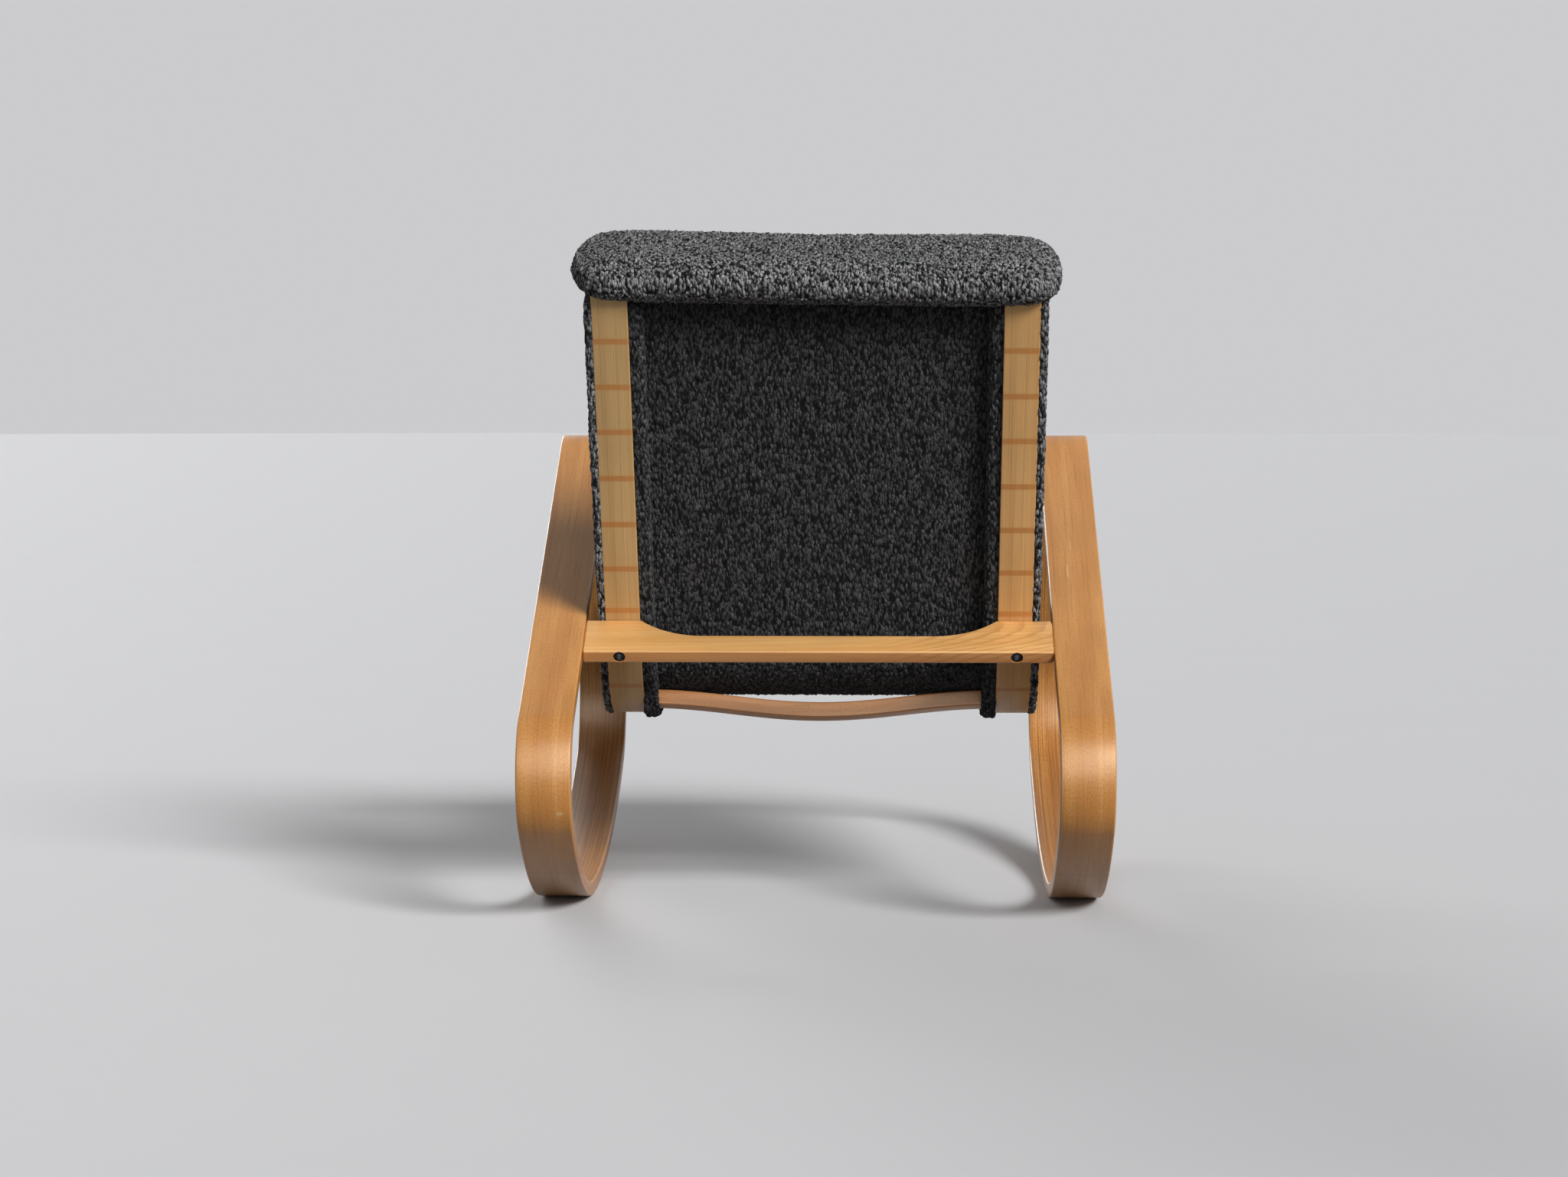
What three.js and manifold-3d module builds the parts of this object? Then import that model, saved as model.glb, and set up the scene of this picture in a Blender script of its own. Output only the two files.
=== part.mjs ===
import * as THREE from 'three';
import { mergeVertices } from 'three/addons/utils/BufferGeometryUtils.js';
import Module from 'manifold-3d';

// Bentwood rocking chair. Two closed laminated loops stand side by side as rockers and arms.
// Two cross bars join them and carry a padded seat on a pair of bent rails.
// Millimetres, +Z up, the sitter faces -Y, the sitter's left is +X.

const wasm = await Module();
wasm.setup();

const degree = Math.PI / 180;
const halfTurn = Math.PI;
const fullTurn = 2 * Math.PI;
const quarterTurn = Math.PI / 2;

// General clearances and edge sizes
const gap = 0.3;
const overrun = 1;
const woodChamfer = 1.5;
const slimChamfer = 0.8;

// Side loops
const bandWidth = 63;
const bandThickness = 18;
const rearRunnerRadius = 512;
const rearRunnerAngle = 38.6 * degree;
const frontRunnerRadius = 1098;
const frontRunnerAngle = 25.4 * degree;
const restFlat = 36;
const rearBendRadius = 84;
const frontBendRadius = 101;
const apexRadius = 83;
const rearLegSlope = 28.5 * degree;
const rearLegLength = 622;
const runnerFacet = 30;
const bendFacet = 13;

// Cross bars between the loops
const crossBarDepth = 69;
const crossBarThickness = 16;
const rearCrossBarPlace = 127;
const scoopDepth = 33;
const scoopRadius = 100;
const scoopFacet = 12;
const scoopSetback = 2;

// Seat rails, measured along their rear face from the top end
const railOuterHalfWidth = 254;
const railWidth = 41.5;
const railThickness = 26;
const railToLoopRoom = 23;
const railIntoRollLength = 16;
const railBelowRearBar = 57;
const seatBendRadius = 140;
const seatSlope = 17 * degree;
const seatStraightLength = 430;
const frontCrossBarPlace = 405;
const kneeRadius = 30;
const kneeTurn = 67 * degree;
const railEndLength = 12;
const railFacet = 14;
const kneeFacet = 9;

// Bars between the rails
const bowedBarTurn = 39.5 * degree;
const bowedBarWidth = 20;
const bowedBarThickness = 19;
const bowedBarBow = 16;
const bowedBarSteps = 20;
const innerBarWidth = 24;
const innerBarThickness = 19;
const innerBarSetback = 1.5;
const topBarSetback = 2;

// Wooden dowels
const dowelRadius = 4;
const dowelSides = 12;
const loopDowelLength = 60;
const loopDowelSpacing = 26;
const frontLoopDowelSpacing = 18;
const barDowelLength = 50;
const boreEndRoom = 1;

// Socket-head bolts and their threaded inserts
const boltRadius = 4;
const boltLength = 75;
const boltHeadRadius = 6.5;
const boltHeadHeight = 8;
const boltHeadRecess = 9;
const boltSides = 24;
const socketRadius = 3.4;
const socketDepth = 4;
const socketSides = 6;
const counterboreRoom = 0.5;
const insertRadius = 6.3;
const insertLength = 18;
const insertSides = 16;

// Webbing straps
const straps = 18;
const strapWidth = 50;
const strapThickness = 2;
const strapEndInset = 2;
const firstStrapBelowRoll = 1.5;
const lastStrapBeforeKnee = 5;

// Upholstery
const edgeStripThickness = 8;
const panelThickness = 3.5;
const panelSetback = 22;
const innerStripWidth = 16;
const innerStripSetback = 5;
const innerStripAboveBar = 14;
const seatStripDrop = 5;
const seatStripBelowBar = 3;
const clothBeforeFrontBar = 3;
const upholsteryBelowRoll = 3;
const backPadThickness = 72;
const seatPadThickness = 44;
const kneePadThickness = 26;
const kneeEaseLength = 360;
const padEndRoll = 40;
const creaseRoll = 18;
const creaseTurn = 36 * degree;
const creaseGap = 0.6;
const padCrown = 7;
const padSideDraw = 3;
const padSquareness = 5;
const padSides = 28;
const padRollSteps = 4;
const padStationStep = 45;
const padEndWallShare = 0.35;

// Headrest roll
const headrestOverhang = 14;
const headrestAboveBar = 446;
const headrestSetback = 40;
const headrestHalfHeight = 31;
const headrestHalfDepth = 64;
const headrestEndRoll = 42;
const headrestSides = 32;
const headrestEndSteps = 6;
const headrestEndWallShare = 0.3;
const slotRoom = 0.5;

// Widths and heights that follow from these
const chairHalfWidth = railOuterHalfWidth + railToLoopRoom + bandWidth;
const loopInnerHalfWidth = chairHalfWidth - bandWidth;
const railInnerHalfWidth = railOuterHalfWidth - railWidth;
const railCentre = railOuterHalfWidth - railWidth / 2;
const upholsteryHalfWidth = railOuterHalfWidth + edgeStripThickness;
const headrestHalfWidth = upholsteryHalfWidth + headrestOverhang;
const railAboveRearBar = headrestAboveBar + railIntoRollLength;

// Finishes
const honeyBeech = new THREE.MeshStandardMaterial({ color: 0xc98f52, roughness: 0.38, metalness: 0 });
const paleAsh = new THREE.MeshStandardMaterial({ color: 0xd9ae72, roughness: 0.42, metalness: 0 });
const railAsh = new THREE.MeshStandardMaterial({ color: 0xc9a66f, roughness: 0.5, metalness: 0 });
const pinkBeech = new THREE.MeshStandardMaterial({ color: 0xc08a5e, roughness: 0.5, metalness: 0 });
const dowelWood = new THREE.MeshStandardMaterial({ color: 0xd8c39a, roughness: 0.7, metalness: 0 });
const blackSteel = new THREE.MeshStandardMaterial({ color: 0x1b1b1d, roughness: 0.35, metalness: 0.9 });
const zincSteel = new THREE.MeshStandardMaterial({ color: 0xb9bcc0, roughness: 0.4, metalness: 0.9 });
const charcoalBoucle = new THREE.MeshStandardMaterial({ color: 0x3d3e42, roughness: 0.95, metalness: 0 });
const darkLining = new THREE.MeshStandardMaterial({ color: 0x26262a, roughness: 0.95, metalness: 0 });
const webbingCloth = new THREE.MeshStandardMaterial({ color: 0x2e2a28, roughness: 0.9, metalness: 0 });

const chair = new THREE.Group();

function addPiece(name, geometry, material) {
  const mesh = new THREE.Mesh(geometry, material);
  mesh.name = name;
  chair.add(mesh);
}

// Solids for joining and cutting

function toSolid(geometry) {
  const bare = geometry.clone();
  bare.deleteAttribute('normal');
  bare.deleteAttribute('uv');
  const merged = mergeVertices(bare);
  return new wasm.Manifold(new wasm.Mesh({
    numProp: 3,
    vertProperties: new Float32Array(merged.attributes.position.array),
    triVerts: new Uint32Array(merged.index.array),
  }));
}

function fromSolid(solid) {
  const mesh = solid.getMesh();
  const geometry = new THREE.BufferGeometry();
  geometry.setAttribute('position', new THREE.BufferAttribute(mesh.vertProperties, 3));
  geometry.setIndex(new THREE.BufferAttribute(mesh.triVerts, 1));
  return geometry;
}

function cut(geometry, tools) {
  let solid = toSolid(geometry);
  for (const tool of tools) {
    solid = solid.subtract(toSolid(tool));
  }
  return fromSolid(solid);
}

function join(geometries) {
  let solid = toSolid(geometries[0]);
  for (const geometry of geometries.slice(1)) {
    solid = solid.add(toSolid(geometry));
  }
  return fromSolid(solid);
}

// Places in the chair's side view, where a point's x is the chair's y and its y is the chair's z

const acrossAxis = new THREE.Vector3(1, 0, 0);

function sideDirection(angleFromDown) {
  return new THREE.Vector2(Math.sin(angleFromDown), -Math.cos(angleFromDown));
}

function offsetPoint(point, direction, distance) {
  return point.clone().addScaledVector(direction, distance);
}

function arcPoints(centre, radius, from, to, steps) {
  const points = [];
  for (let i = 0; i <= steps; i += 1) {
    const direction = sideDirection(from + ((to - from) * i) / steps);
    points.push(offsetPoint(centre, direction, radius));
  }
  return points;
}

function arcSteps(radius, turn, facet) {
  return Math.max(1, Math.round(Math.abs(radius * turn) / facet));
}

// A side-view outline drawn out across the chair, from one x to another

function acrossChair(points, xFrom, xTo, chamfer) {
  const shape = new THREE.Shape(points.outer);
  if (points.inner) {
    shape.holes.push(new THREE.Path(points.inner));
  }
  const geometry = new THREE.ExtrudeGeometry(shape, {
    depth: xTo - xFrom - 2 * chamfer,
    bevelEnabled: chamfer > 0,
    bevelThickness: chamfer,
    bevelSize: chamfer,
    bevelOffset: -chamfer,
    bevelSegments: 1,
    steps: 1,
  });
  geometry.translate(0, 0, xFrom + chamfer);
  const toChair = new THREE.Matrix4().makeBasis(
    new THREE.Vector3(0, 1, 0),
    new THREE.Vector3(0, 0, 1),
    acrossAxis,
  );
  return geometry.applyMatrix4(toChair);
}

// The side loop's outline: two runner arcs that meet at the rest flat, rear bend, straight rear leg,
// apex bend, straight front leg and front bend. All its turns go one way.

const rearFlatAngle = Math.asin(restFlat / 2 / rearRunnerRadius);
const frontFlatAngle = Math.asin(restFlat / 2 / frontRunnerRadius);
const rearLegTurn = halfTurn - rearLegSlope;
const frontRunnerTurn = fullTurn - frontRunnerAngle;

const rearRunnerCentre = new THREE.Vector2(0, rearRunnerRadius * Math.cos(rearFlatAngle));
const frontRunnerCentre = new THREE.Vector2(0, frontRunnerRadius * Math.cos(frontFlatAngle));
const rearBendCentre = offsetPoint(
  rearRunnerCentre, sideDirection(rearRunnerAngle), rearRunnerRadius - rearBendRadius,
);
const frontBendCentre = offsetPoint(
  frontRunnerCentre, sideDirection(frontRunnerTurn), frontRunnerRadius - frontBendRadius,
);
const rearLegNormal = sideDirection(rearLegTurn);
const rearLegAlong = new THREE.Vector2(-rearLegNormal.y, rearLegNormal.x);
const rearLegStart = offsetPoint(rearBendCentre, rearLegNormal, rearBendRadius);
const rearLegEnd = offsetPoint(rearLegStart, rearLegAlong, rearLegLength);
const apexCentre = offsetPoint(rearLegEnd, rearLegNormal, -apexRadius);

const frontSpan = apexCentre.clone().sub(frontBendCentre);
const frontLegSlope = frontSpan.angle() - Math.asin((frontBendRadius - apexRadius) / frontSpan.length());
const frontLegTurn = halfTurn + frontLegSlope;

function loopOutline(inset) {
  const bends = [
    [rearRunnerCentre, rearRunnerRadius, rearFlatAngle, rearRunnerAngle, runnerFacet],
    [rearBendCentre, rearBendRadius, rearRunnerAngle, rearLegTurn, bendFacet],
    [apexCentre, apexRadius, rearLegTurn, frontLegTurn, bendFacet],
    [frontBendCentre, frontBendRadius, frontLegTurn, frontRunnerTurn, bendFacet],
    [frontRunnerCentre, frontRunnerRadius, frontRunnerTurn, fullTurn - frontFlatAngle, runnerFacet],
  ];
  const points = [];
  for (const [centre, radius, from, to, facet] of bends) {
    const run = arcPoints(centre, radius - inset, from, to, arcSteps(radius, to - from, facet));
    const last = points[points.length - 1];
    if (last && last.distanceTo(run[0]) < gap) {
      run.shift();
    }
    points.push(...run);
  }
  return points;
}

// The seat's own line: the rear face of the rails, walked from the top end down the back,
// round the seat bend, forward under the seat and over the knee

const rearBarCorner = offsetPoint(rearLegStart, rearLegAlong, rearCrossBarPlace + crossBarDepth);
const seatBendTurn = quarterTurn - rearLegSlope + seatSlope;
const seatPieces = [
  { length: railAboveRearBar + railBelowRearBar, curvature: 0, facet: 0 },
  { length: seatBendRadius * seatBendTurn, curvature: 1 / seatBendRadius, facet: railFacet },
  { length: seatStraightLength, curvature: 0, facet: 0 },
  { length: kneeRadius * kneeTurn, curvature: -1 / kneeRadius, facet: kneeFacet },
  { length: railEndLength, curvature: 0, facet: 0 },
];
const bendStart = seatPieces[0].length;
const seatStart = bendStart + seatPieces[1].length;
const kneeStart = seatStart + seatPieces[2].length;
const kneeEnd = kneeStart + seatPieces[3].length;
const railLength = kneeEnd + seatPieces[4].length;

const backHeading = -quarterTurn - rearLegSlope;
const railTop = offsetPoint(rearBarCorner, headingDirection(backHeading), -railAboveRearBar);

function headingDirection(heading) {
  return new THREE.Vector2(Math.cos(heading), Math.sin(heading));
}

function sitterSide(heading) {
  return new THREE.Vector2(Math.sin(heading), -Math.cos(heading));
}

function seatLine(distance) {
  let point = railTop.clone();
  let heading = backHeading;
  let left = distance;
  for (const piece of seatPieces) {
    const step = Math.min(left, piece.length);
    if (piece.curvature === 0) {
      point = offsetPoint(point, headingDirection(heading), step);
    } else {
      const centre = offsetPoint(point, sitterSide(heading), 1 / piece.curvature);
      heading -= step * piece.curvature;
      point = offsetPoint(centre, sitterSide(heading), -1 / piece.curvature);
    }
    left -= step;
  }
  return { point, along: headingDirection(heading), inward: sitterSide(heading) };
}

function seatPlace(distance, depth) {
  const line = seatLine(distance);
  return offsetPoint(line.point, line.inward, depth);
}

function seatStops(from, to) {
  const stops = [from];
  let start = 0;
  for (const piece of seatPieces) {
    const end = start + piece.length;
    const low = Math.max(from, start);
    const high = Math.min(to, end);
    if (high > low) {
      const steps = piece.curvature === 0 ? 1 : Math.max(1, Math.round((high - low) / piece.facet));
      for (let i = 1; i <= steps; i += 1) {
        stops.push(low + ((high - low) * i) / steps);
      }
    }
    start = end;
  }
  return stops;
}

// A band of even thickness that follows the seat's line

function seatBand(from, to, depthFrom, depthTo, xFrom, xTo, chamfer) {
  const stops = seatStops(from, to);
  const outer = [
    ...stops.map((stop) => seatPlace(stop, depthFrom)),
    ...stops.slice().reverse().map((stop) => seatPlace(stop, depthTo)),
  ];
  return acrossChair({ outer }, xFrom, xTo, chamfer);
}

// A frame on the seat's line: x across the chair, y towards the sitter, z along the line

function seatFrame(distance, x, depth) {
  const line = seatLine(distance);
  const place = offsetPoint(line.point, line.inward, depth);
  return new THREE.Matrix4()
    .makeBasis(
      acrossAxis,
      new THREE.Vector3(0, line.inward.x, line.inward.y),
      new THREE.Vector3(0, line.along.x, line.along.y),
    )
    .setPosition(x, place.x, place.y);
}

function dowelAt(matrix, radius, length) {
  return new THREE.CylinderGeometry(radius, radius, length, dowelSides)
    .rotateZ(quarterTurn)
    .applyMatrix4(matrix);
}

const sides = [
  { name: 'left', sign: 1 },
  { name: 'right', sign: -1 },
];

function mirrored(sign, near, far) {
  return sign > 0 ? [near, far] : [-far, -near];
}

// Cross bars: the broad face lies square to the rails, its edge towards them is scooped out

const crossBarHalfLength = loopInnerHalfWidth - gap;
const rearBarStart = railAboveRearBar;
const frontBarStart = seatStart + frontCrossBarPlace;
const crossBars = [
  { name: 'rear', start: rearBarStart, dowelSpacing: loopDowelSpacing },
  { name: 'front', start: frontBarStart, dowelSpacing: frontLoopDowelSpacing },
];

function crossBarOutline() {
  const top = -gap;
  const bottom = -crossBarDepth;
  const scoopStart = railInnerHalfWidth - scoopSetback;
  const scoopRun = Math.sqrt(2 * scoopRadius * scoopDepth - scoopDepth * scoopDepth);
  const scoopAngle = Math.asin(scoopRun / scoopRadius);
  const centre = new THREE.Vector2(scoopStart - scoopRun, top - scoopDepth + scoopRadius);
  const steps = arcSteps(scoopRadius, scoopAngle, scoopFacet);
  const half = arcPoints(centre, scoopRadius, scoopAngle, 0, steps);
  const mirroredHalf = half.slice().reverse().map((point) => new THREE.Vector2(-point.x, point.y));
  return [
    new THREE.Vector2(-crossBarHalfLength, bottom),
    new THREE.Vector2(crossBarHalfLength, bottom),
    new THREE.Vector2(crossBarHalfLength, top),
    ...half,
    ...mirroredHalf,
    new THREE.Vector2(-crossBarHalfLength, top),
  ];
}

// A bolt runs from the cross bar's outer edge through its depth into the rail.
// Its own axis is the y axis of a seat frame, so it is made along y, head at the outer edge.

function boltShape() {
  const seat = -crossBarDepth + boltHeadRecess;
  const shank = new THREE.CylinderGeometry(boltRadius, boltRadius, boltLength, dowelSides)
    .translate(0, seat + boltLength / 2, 0);
  const head = new THREE.CylinderGeometry(boltHeadRadius, boltHeadRadius, boltHeadHeight, boltSides)
    .translate(0, seat - boltHeadHeight / 2, 0);
  const socket = new THREE.CylinderGeometry(socketRadius, socketRadius, 2 * socketDepth, socketSides)
    .translate(0, seat - boltHeadHeight, 0);
  return cut(join([shank, head]), [socket]);
}

function boltClearance() {
  const seat = -crossBarDepth + boltHeadRecess + gap;
  const through = new THREE.CylinderGeometry(
    boltRadius + gap, boltRadius + gap, 2 * crossBarDepth, dowelSides,
  );
  const mouthDepth = boltHeadRecess + gap + overrun;
  const mouthRadius = boltHeadRadius + counterboreRoom;
  const mouth = new THREE.CylinderGeometry(mouthRadius, mouthRadius, mouthDepth, boltSides)
    .translate(0, seat - mouthDepth / 2, 0);
  return [through, mouth];
}

function insertShape() {
  const bore = boltRadius + gap;
  const low = gap;
  const high = insertLength;
  const outline = [
    new THREE.Vector2(bore, low),
    new THREE.Vector2(insertRadius, low),
    new THREE.Vector2(insertRadius, high),
    new THREE.Vector2(bore, high),
    new THREE.Vector2(bore, low),
  ];
  return new THREE.LatheGeometry(outline, insertSides);
}

function insertBore() {
  const radius = insertRadius + gap;
  const depth = insertLength + boreEndRoom;
  return new THREE.CylinderGeometry(radius, radius, depth + overrun, insertSides)
    .translate(0, (depth - overrun) / 2, 0);
}

function boltFrame(bar, sign) {
  return seatFrame(bar.start + crossBarThickness / 2, sign * railCentre, 0);
}

// Dowels between a cross bar's end and the loop lie in the middle of the bar's section

function loopDowelFrames(bar, sign) {
  const middle = -crossBarDepth / 2;
  const x = sign * (crossBarHalfLength + gap / 2);
  return [-bar.dowelSpacing / 2, bar.dowelSpacing / 2].map((shift) => (
    seatFrame(bar.start + crossBarThickness / 2, x, middle + shift)
  ));
}

function buildCrossBars() {
  for (const bar of crossBars) {
    const shape = new THREE.Shape(crossBarOutline());
    const board = new THREE.ExtrudeGeometry(shape, {
      depth: crossBarThickness - 2 * woodChamfer,
      bevelEnabled: true,
      bevelThickness: woodChamfer,
      bevelSize: woodChamfer,
      bevelOffset: -woodChamfer,
      bevelSegments: 1,
      steps: 1,
    }).translate(0, 0, woodChamfer);
    board.applyMatrix4(seatFrame(bar.start, 0, 0));
    const tools = [];
    for (const side of sides) {
      const frame = boltFrame(bar, side.sign);
      tools.push(...boltClearance().map((tool) => tool.applyMatrix4(frame)));
      for (const place of loopDowelFrames(bar, side.sign)) {
        tools.push(dowelAt(place, dowelRadius + gap, loopDowelLength + 2 * boreEndRoom));
      }
      addPiece(`rail_bolt_${bar.name}_${side.name}`, boltShape().applyMatrix4(frame), blackSteel);
      addPiece(`rail_insert_${bar.name}_${side.name}`, insertShape().applyMatrix4(frame), zincSteel);
      loopDowelFrames(bar, side.sign).forEach((place, i) => {
        const dowel = dowelAt(place, dowelRadius, loopDowelLength);
        addPiece(`loop_dowel_${bar.name}_${side.name}_${i + 1}`, dowel, dowelWood);
      });
    }
    addPiece(`${bar.name}_cross_bar`, cut(board, tools), paleAsh);
  }
}

function buildLoops() {
  for (const side of sides) {
    const [xFrom, xTo] = mirrored(side.sign, loopInnerHalfWidth, chairHalfWidth);
    const outline = { outer: loopOutline(0), inner: loopOutline(bandThickness) };
    const band = acrossChair(outline, xFrom, xTo, woodChamfer);
    const bores = crossBars.flatMap((bar) => loopDowelFrames(bar, side.sign))
      .map((place) => dowelAt(place, dowelRadius + gap, loopDowelLength + 2 * boreEndRoom));
    addPiece(`side_loop_${side.name}`, cut(band, bores), honeyBeech);
  }
}

// Bars between the rails: one hidden in the headrest, and the bowed one at the bend

const innerBarHalfLength = railInnerHalfWidth - gap;
const innerBarMiddle = innerBarSetback + innerBarThickness / 2;
const innerBars = [
  { name: 'top', place: topBarSetback + innerBarWidth / 2 },
  { name: 'bowed', place: bendStart + seatBendRadius * bowedBarTurn },
];

function barDowelFrame(bar, sign) {
  return seatFrame(bar.place, sign * (innerBarHalfLength + gap / 2), innerBarMiddle);
}

function straightBarShape() {
  return new THREE.BoxGeometry(2 * innerBarHalfLength, innerBarThickness, innerBarWidth)
    .translate(0, innerBarMiddle, 0);
}

function bowedBarShape() {
  const near = [];
  const far = [];
  for (let i = 0; i <= bowedBarSteps; i += 1) {
    const share = (2 * i) / bowedBarSteps - 1;
    const bow = (bowedBarBow * (1 + Math.cos(halfTurn * share))) / 2;
    const x = share * innerBarHalfLength;
    near.push(new THREE.Vector2(x, innerBarMiddle - bowedBarThickness / 2 - bow));
    far.unshift(new THREE.Vector2(x, innerBarMiddle + bowedBarThickness / 2 - bow));
  }
  return new THREE.ExtrudeGeometry(new THREE.Shape([...near, ...far]), {
    depth: bowedBarWidth - 2 * slimChamfer,
    bevelEnabled: true,
    bevelThickness: slimChamfer,
    bevelSize: slimChamfer,
    bevelOffset: -slimChamfer,
    bevelSegments: 1,
    steps: 1,
  }).translate(0, 0, slimChamfer - bowedBarWidth / 2);
}

function buildInnerBars() {
  for (const bar of innerBars) {
    const isBowed = bar.name === 'bowed';
    const shape = isBowed ? bowedBarShape() : straightBarShape();
    const bores = sides.map((side) => (
      dowelAt(barDowelFrame(bar, side.sign), dowelRadius + gap, barDowelLength + 2 * boreEndRoom)
    ));
    const geometry = cut(shape.applyMatrix4(seatFrame(bar.place, 0, 0)), bores);
    addPiece(`${bar.name}_bar`, geometry, isBowed ? pinkBeech : railAsh);
    for (const side of sides) {
      const dowel = dowelAt(barDowelFrame(bar, side.sign), dowelRadius, barDowelLength);
      addPiece(`bar_dowel_${bar.name}_${side.name}`, dowel, dowelWood);
    }
  }
}

function buildRails() {
  for (const side of sides) {
    const [xFrom, xTo] = mirrored(side.sign, railInnerHalfWidth, railOuterHalfWidth);
    const rail = seatBand(0, railLength, 0, railThickness, xFrom, xTo, woodChamfer);
    const tools = [];
    for (const bar of crossBars) {
      tools.push(insertBore().applyMatrix4(boltFrame(bar, side.sign)));
    }
    for (const bar of innerBars) {
      const length = barDowelLength + 2 * boreEndRoom;
      tools.push(dowelAt(barDowelFrame(bar, side.sign), dowelRadius + gap, length));
    }
    addPiece(`seat_rail_${side.name}`, cut(rail, tools), railAsh);
  }
}

// The headrest roll hides the rails' top ends, and the rest of the upholstery starts under it

const rollPlace = railAboveRearBar - headrestAboveBar;
const rollBottom = rollPlace + headrestHalfHeight;
const upholsteryTop = rollBottom + upholsteryBelowRoll;
const bowedBarPlace = innerBars[1].place;

// A skin stretched over rings of points, closed by a fan at each end

function loft(rings) {
  const positions = rings.flat().flatMap((point) => point.toArray());
  const indices = [];
  const count = rings[0].length;
  for (let ring = 0; ring + 1 < rings.length; ring += 1) {
    for (let i = 0; i < count; i += 1) {
      const next = (i + 1) % count;
      const low = ring * count;
      const high = low + count;
      indices.push(low + i, low + next, high + next);
      indices.push(low + i, high + next, high + i);
    }
  }
  const lastRing = (rings.length - 1) * count;
  const ends = [
    { first: 0, ring: rings[0], outward: false },
    { first: lastRing, ring: rings[rings.length - 1], outward: true },
  ];
  for (const end of ends) {
    const middle = new THREE.Vector3();
    end.ring.forEach((point) => middle.addScaledVector(point, 1 / count));
    const centre = positions.length / 3;
    positions.push(...middle.toArray());
    for (let i = 0; i < count; i += 1) {
      const here = end.first + i;
      const next = end.first + ((i + 1) % count);
      indices.push(centre, ...(end.outward ? [here, next] : [next, here]));
    }
  }
  const geometry = new THREE.BufferGeometry();
  geometry.setAttribute('position', new THREE.BufferAttribute(new Float32Array(positions), 3));
  geometry.setIndex(indices);
  return geometry;
}

// A pad's section is a flattened superellipse with a crown on top and sides drawn in half way up

function power(value, squareness) {
  return Math.sign(value) * Math.abs(value) ** (2 / squareness);
}

function padRing(place, base, thickness, crown) {
  const frame = seatFrame(place, 0, base);
  const ring = [];
  for (let i = 0; i < padSides; i += 1) {
    const angle = (fullTurn * i) / padSides;
    const across = power(Math.cos(angle), padSquareness);
    const up = power(Math.sin(angle), padSquareness);
    const rise = (1 + up) / 2;
    const x = across * (upholsteryHalfWidth - padSideDraw * (1 - up * up));
    const depth = rise * (thickness + crown * (1 - across * across));
    ring.push(new THREE.Vector3(x, depth, 0).applyMatrix4(frame));
  }
  return ring;
}

// How full a pad is near an end that rolls away: a low end wall, then a quarter round

function fullness(distanceFromEnd, roll) {
  const share = Math.min(1, distanceFromEnd / roll);
  const round = Math.sqrt(1 - (1 - share) ** 2);
  return padEndWallShare + (1 - padEndWallShare) * round;
}

function padStops(from, to, rollFrom, rollTo) {
  const stops = [];
  for (let i = 0; i < padRollSteps; i += 1) {
    stops.push(from + rollFrom * (1 - Math.cos((quarterTurn * i) / padRollSteps)));
  }
  const middle = seatStops(from + rollFrom, to - rollTo);
  stops.push(middle[0]);
  for (let i = 1; i < middle.length; i += 1) {
    const length = middle[i] - middle[i - 1];
    const steps = Math.ceil(length / padStationStep);
    for (let step = 1; step <= steps; step += 1) {
      stops.push(middle[i - 1] + (length * step) / steps);
    }
  }
  for (let i = padRollSteps - 1; i >= 0; i -= 1) {
    stops.push(to - rollTo * (1 - Math.cos((quarterTurn * i) / padRollSteps)));
  }
  return stops;
}

const padBase = railThickness + gap + strapThickness + gap;
const creasePlace = bendStart + seatBendRadius * creaseTurn;

function padThicknessOnSeat(place) {
  const share = THREE.MathUtils.smoothstep(place, kneeStart - kneeEaseLength, kneeEnd);
  return THREE.MathUtils.lerp(seatPadThickness, kneePadThickness, share);
}

function buildPads() {
  const pads = [
    {
      name: 'back_pad',
      from: upholsteryTop,
      to: creasePlace - creaseGap / 2,
      rollFrom: padEndRoll,
      rollTo: creaseRoll,
      thickness: () => backPadThickness,
    },
    {
      name: 'seat_pad',
      from: creasePlace + creaseGap / 2,
      to: railLength,
      rollFrom: creaseRoll,
      rollTo: padEndRoll,
      thickness: padThicknessOnSeat,
    },
  ];
  for (const pad of pads) {
    const rings = padStops(pad.from, pad.to, pad.rollFrom, pad.rollTo).map((place) => {
      const full = fullness(place - pad.from, pad.rollFrom) * fullness(pad.to - place, pad.rollTo);
      return padRing(place, padBase, pad.thickness(place) * full, padCrown * full);
    });
    addPiece(pad.name, loft(rings), charcoalBoucle);
  }
}

// Webbing straps lie across the rails' front faces, under the pads

const strapDepth = railThickness + gap;
const firstStrap = rollBottom + firstStrapBelowRoll;
const lastStrap = kneeStart - lastStrapBeforeKnee - strapWidth;

function buildWebbing() {
  const halfLength = railOuterHalfWidth - strapEndInset;
  for (let i = 0; i < straps; i += 1) {
    const from = firstStrap + ((lastStrap - firstStrap) * i) / (straps - 1);
    const strap = seatBand(
      from, from + strapWidth, strapDepth, strapDepth + strapThickness, -halfLength, halfLength, 0,
    );
    addPiece(`webbing_strap_${i + 1}`, strap, webbingCloth);
  }
}

// The rear cloth panel lies between the rails behind the straps.
// The edge strips cover the rails' outer sides and line their inner sides.

const clothEnd = frontBarStart - clothBeforeFrontBar;

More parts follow.
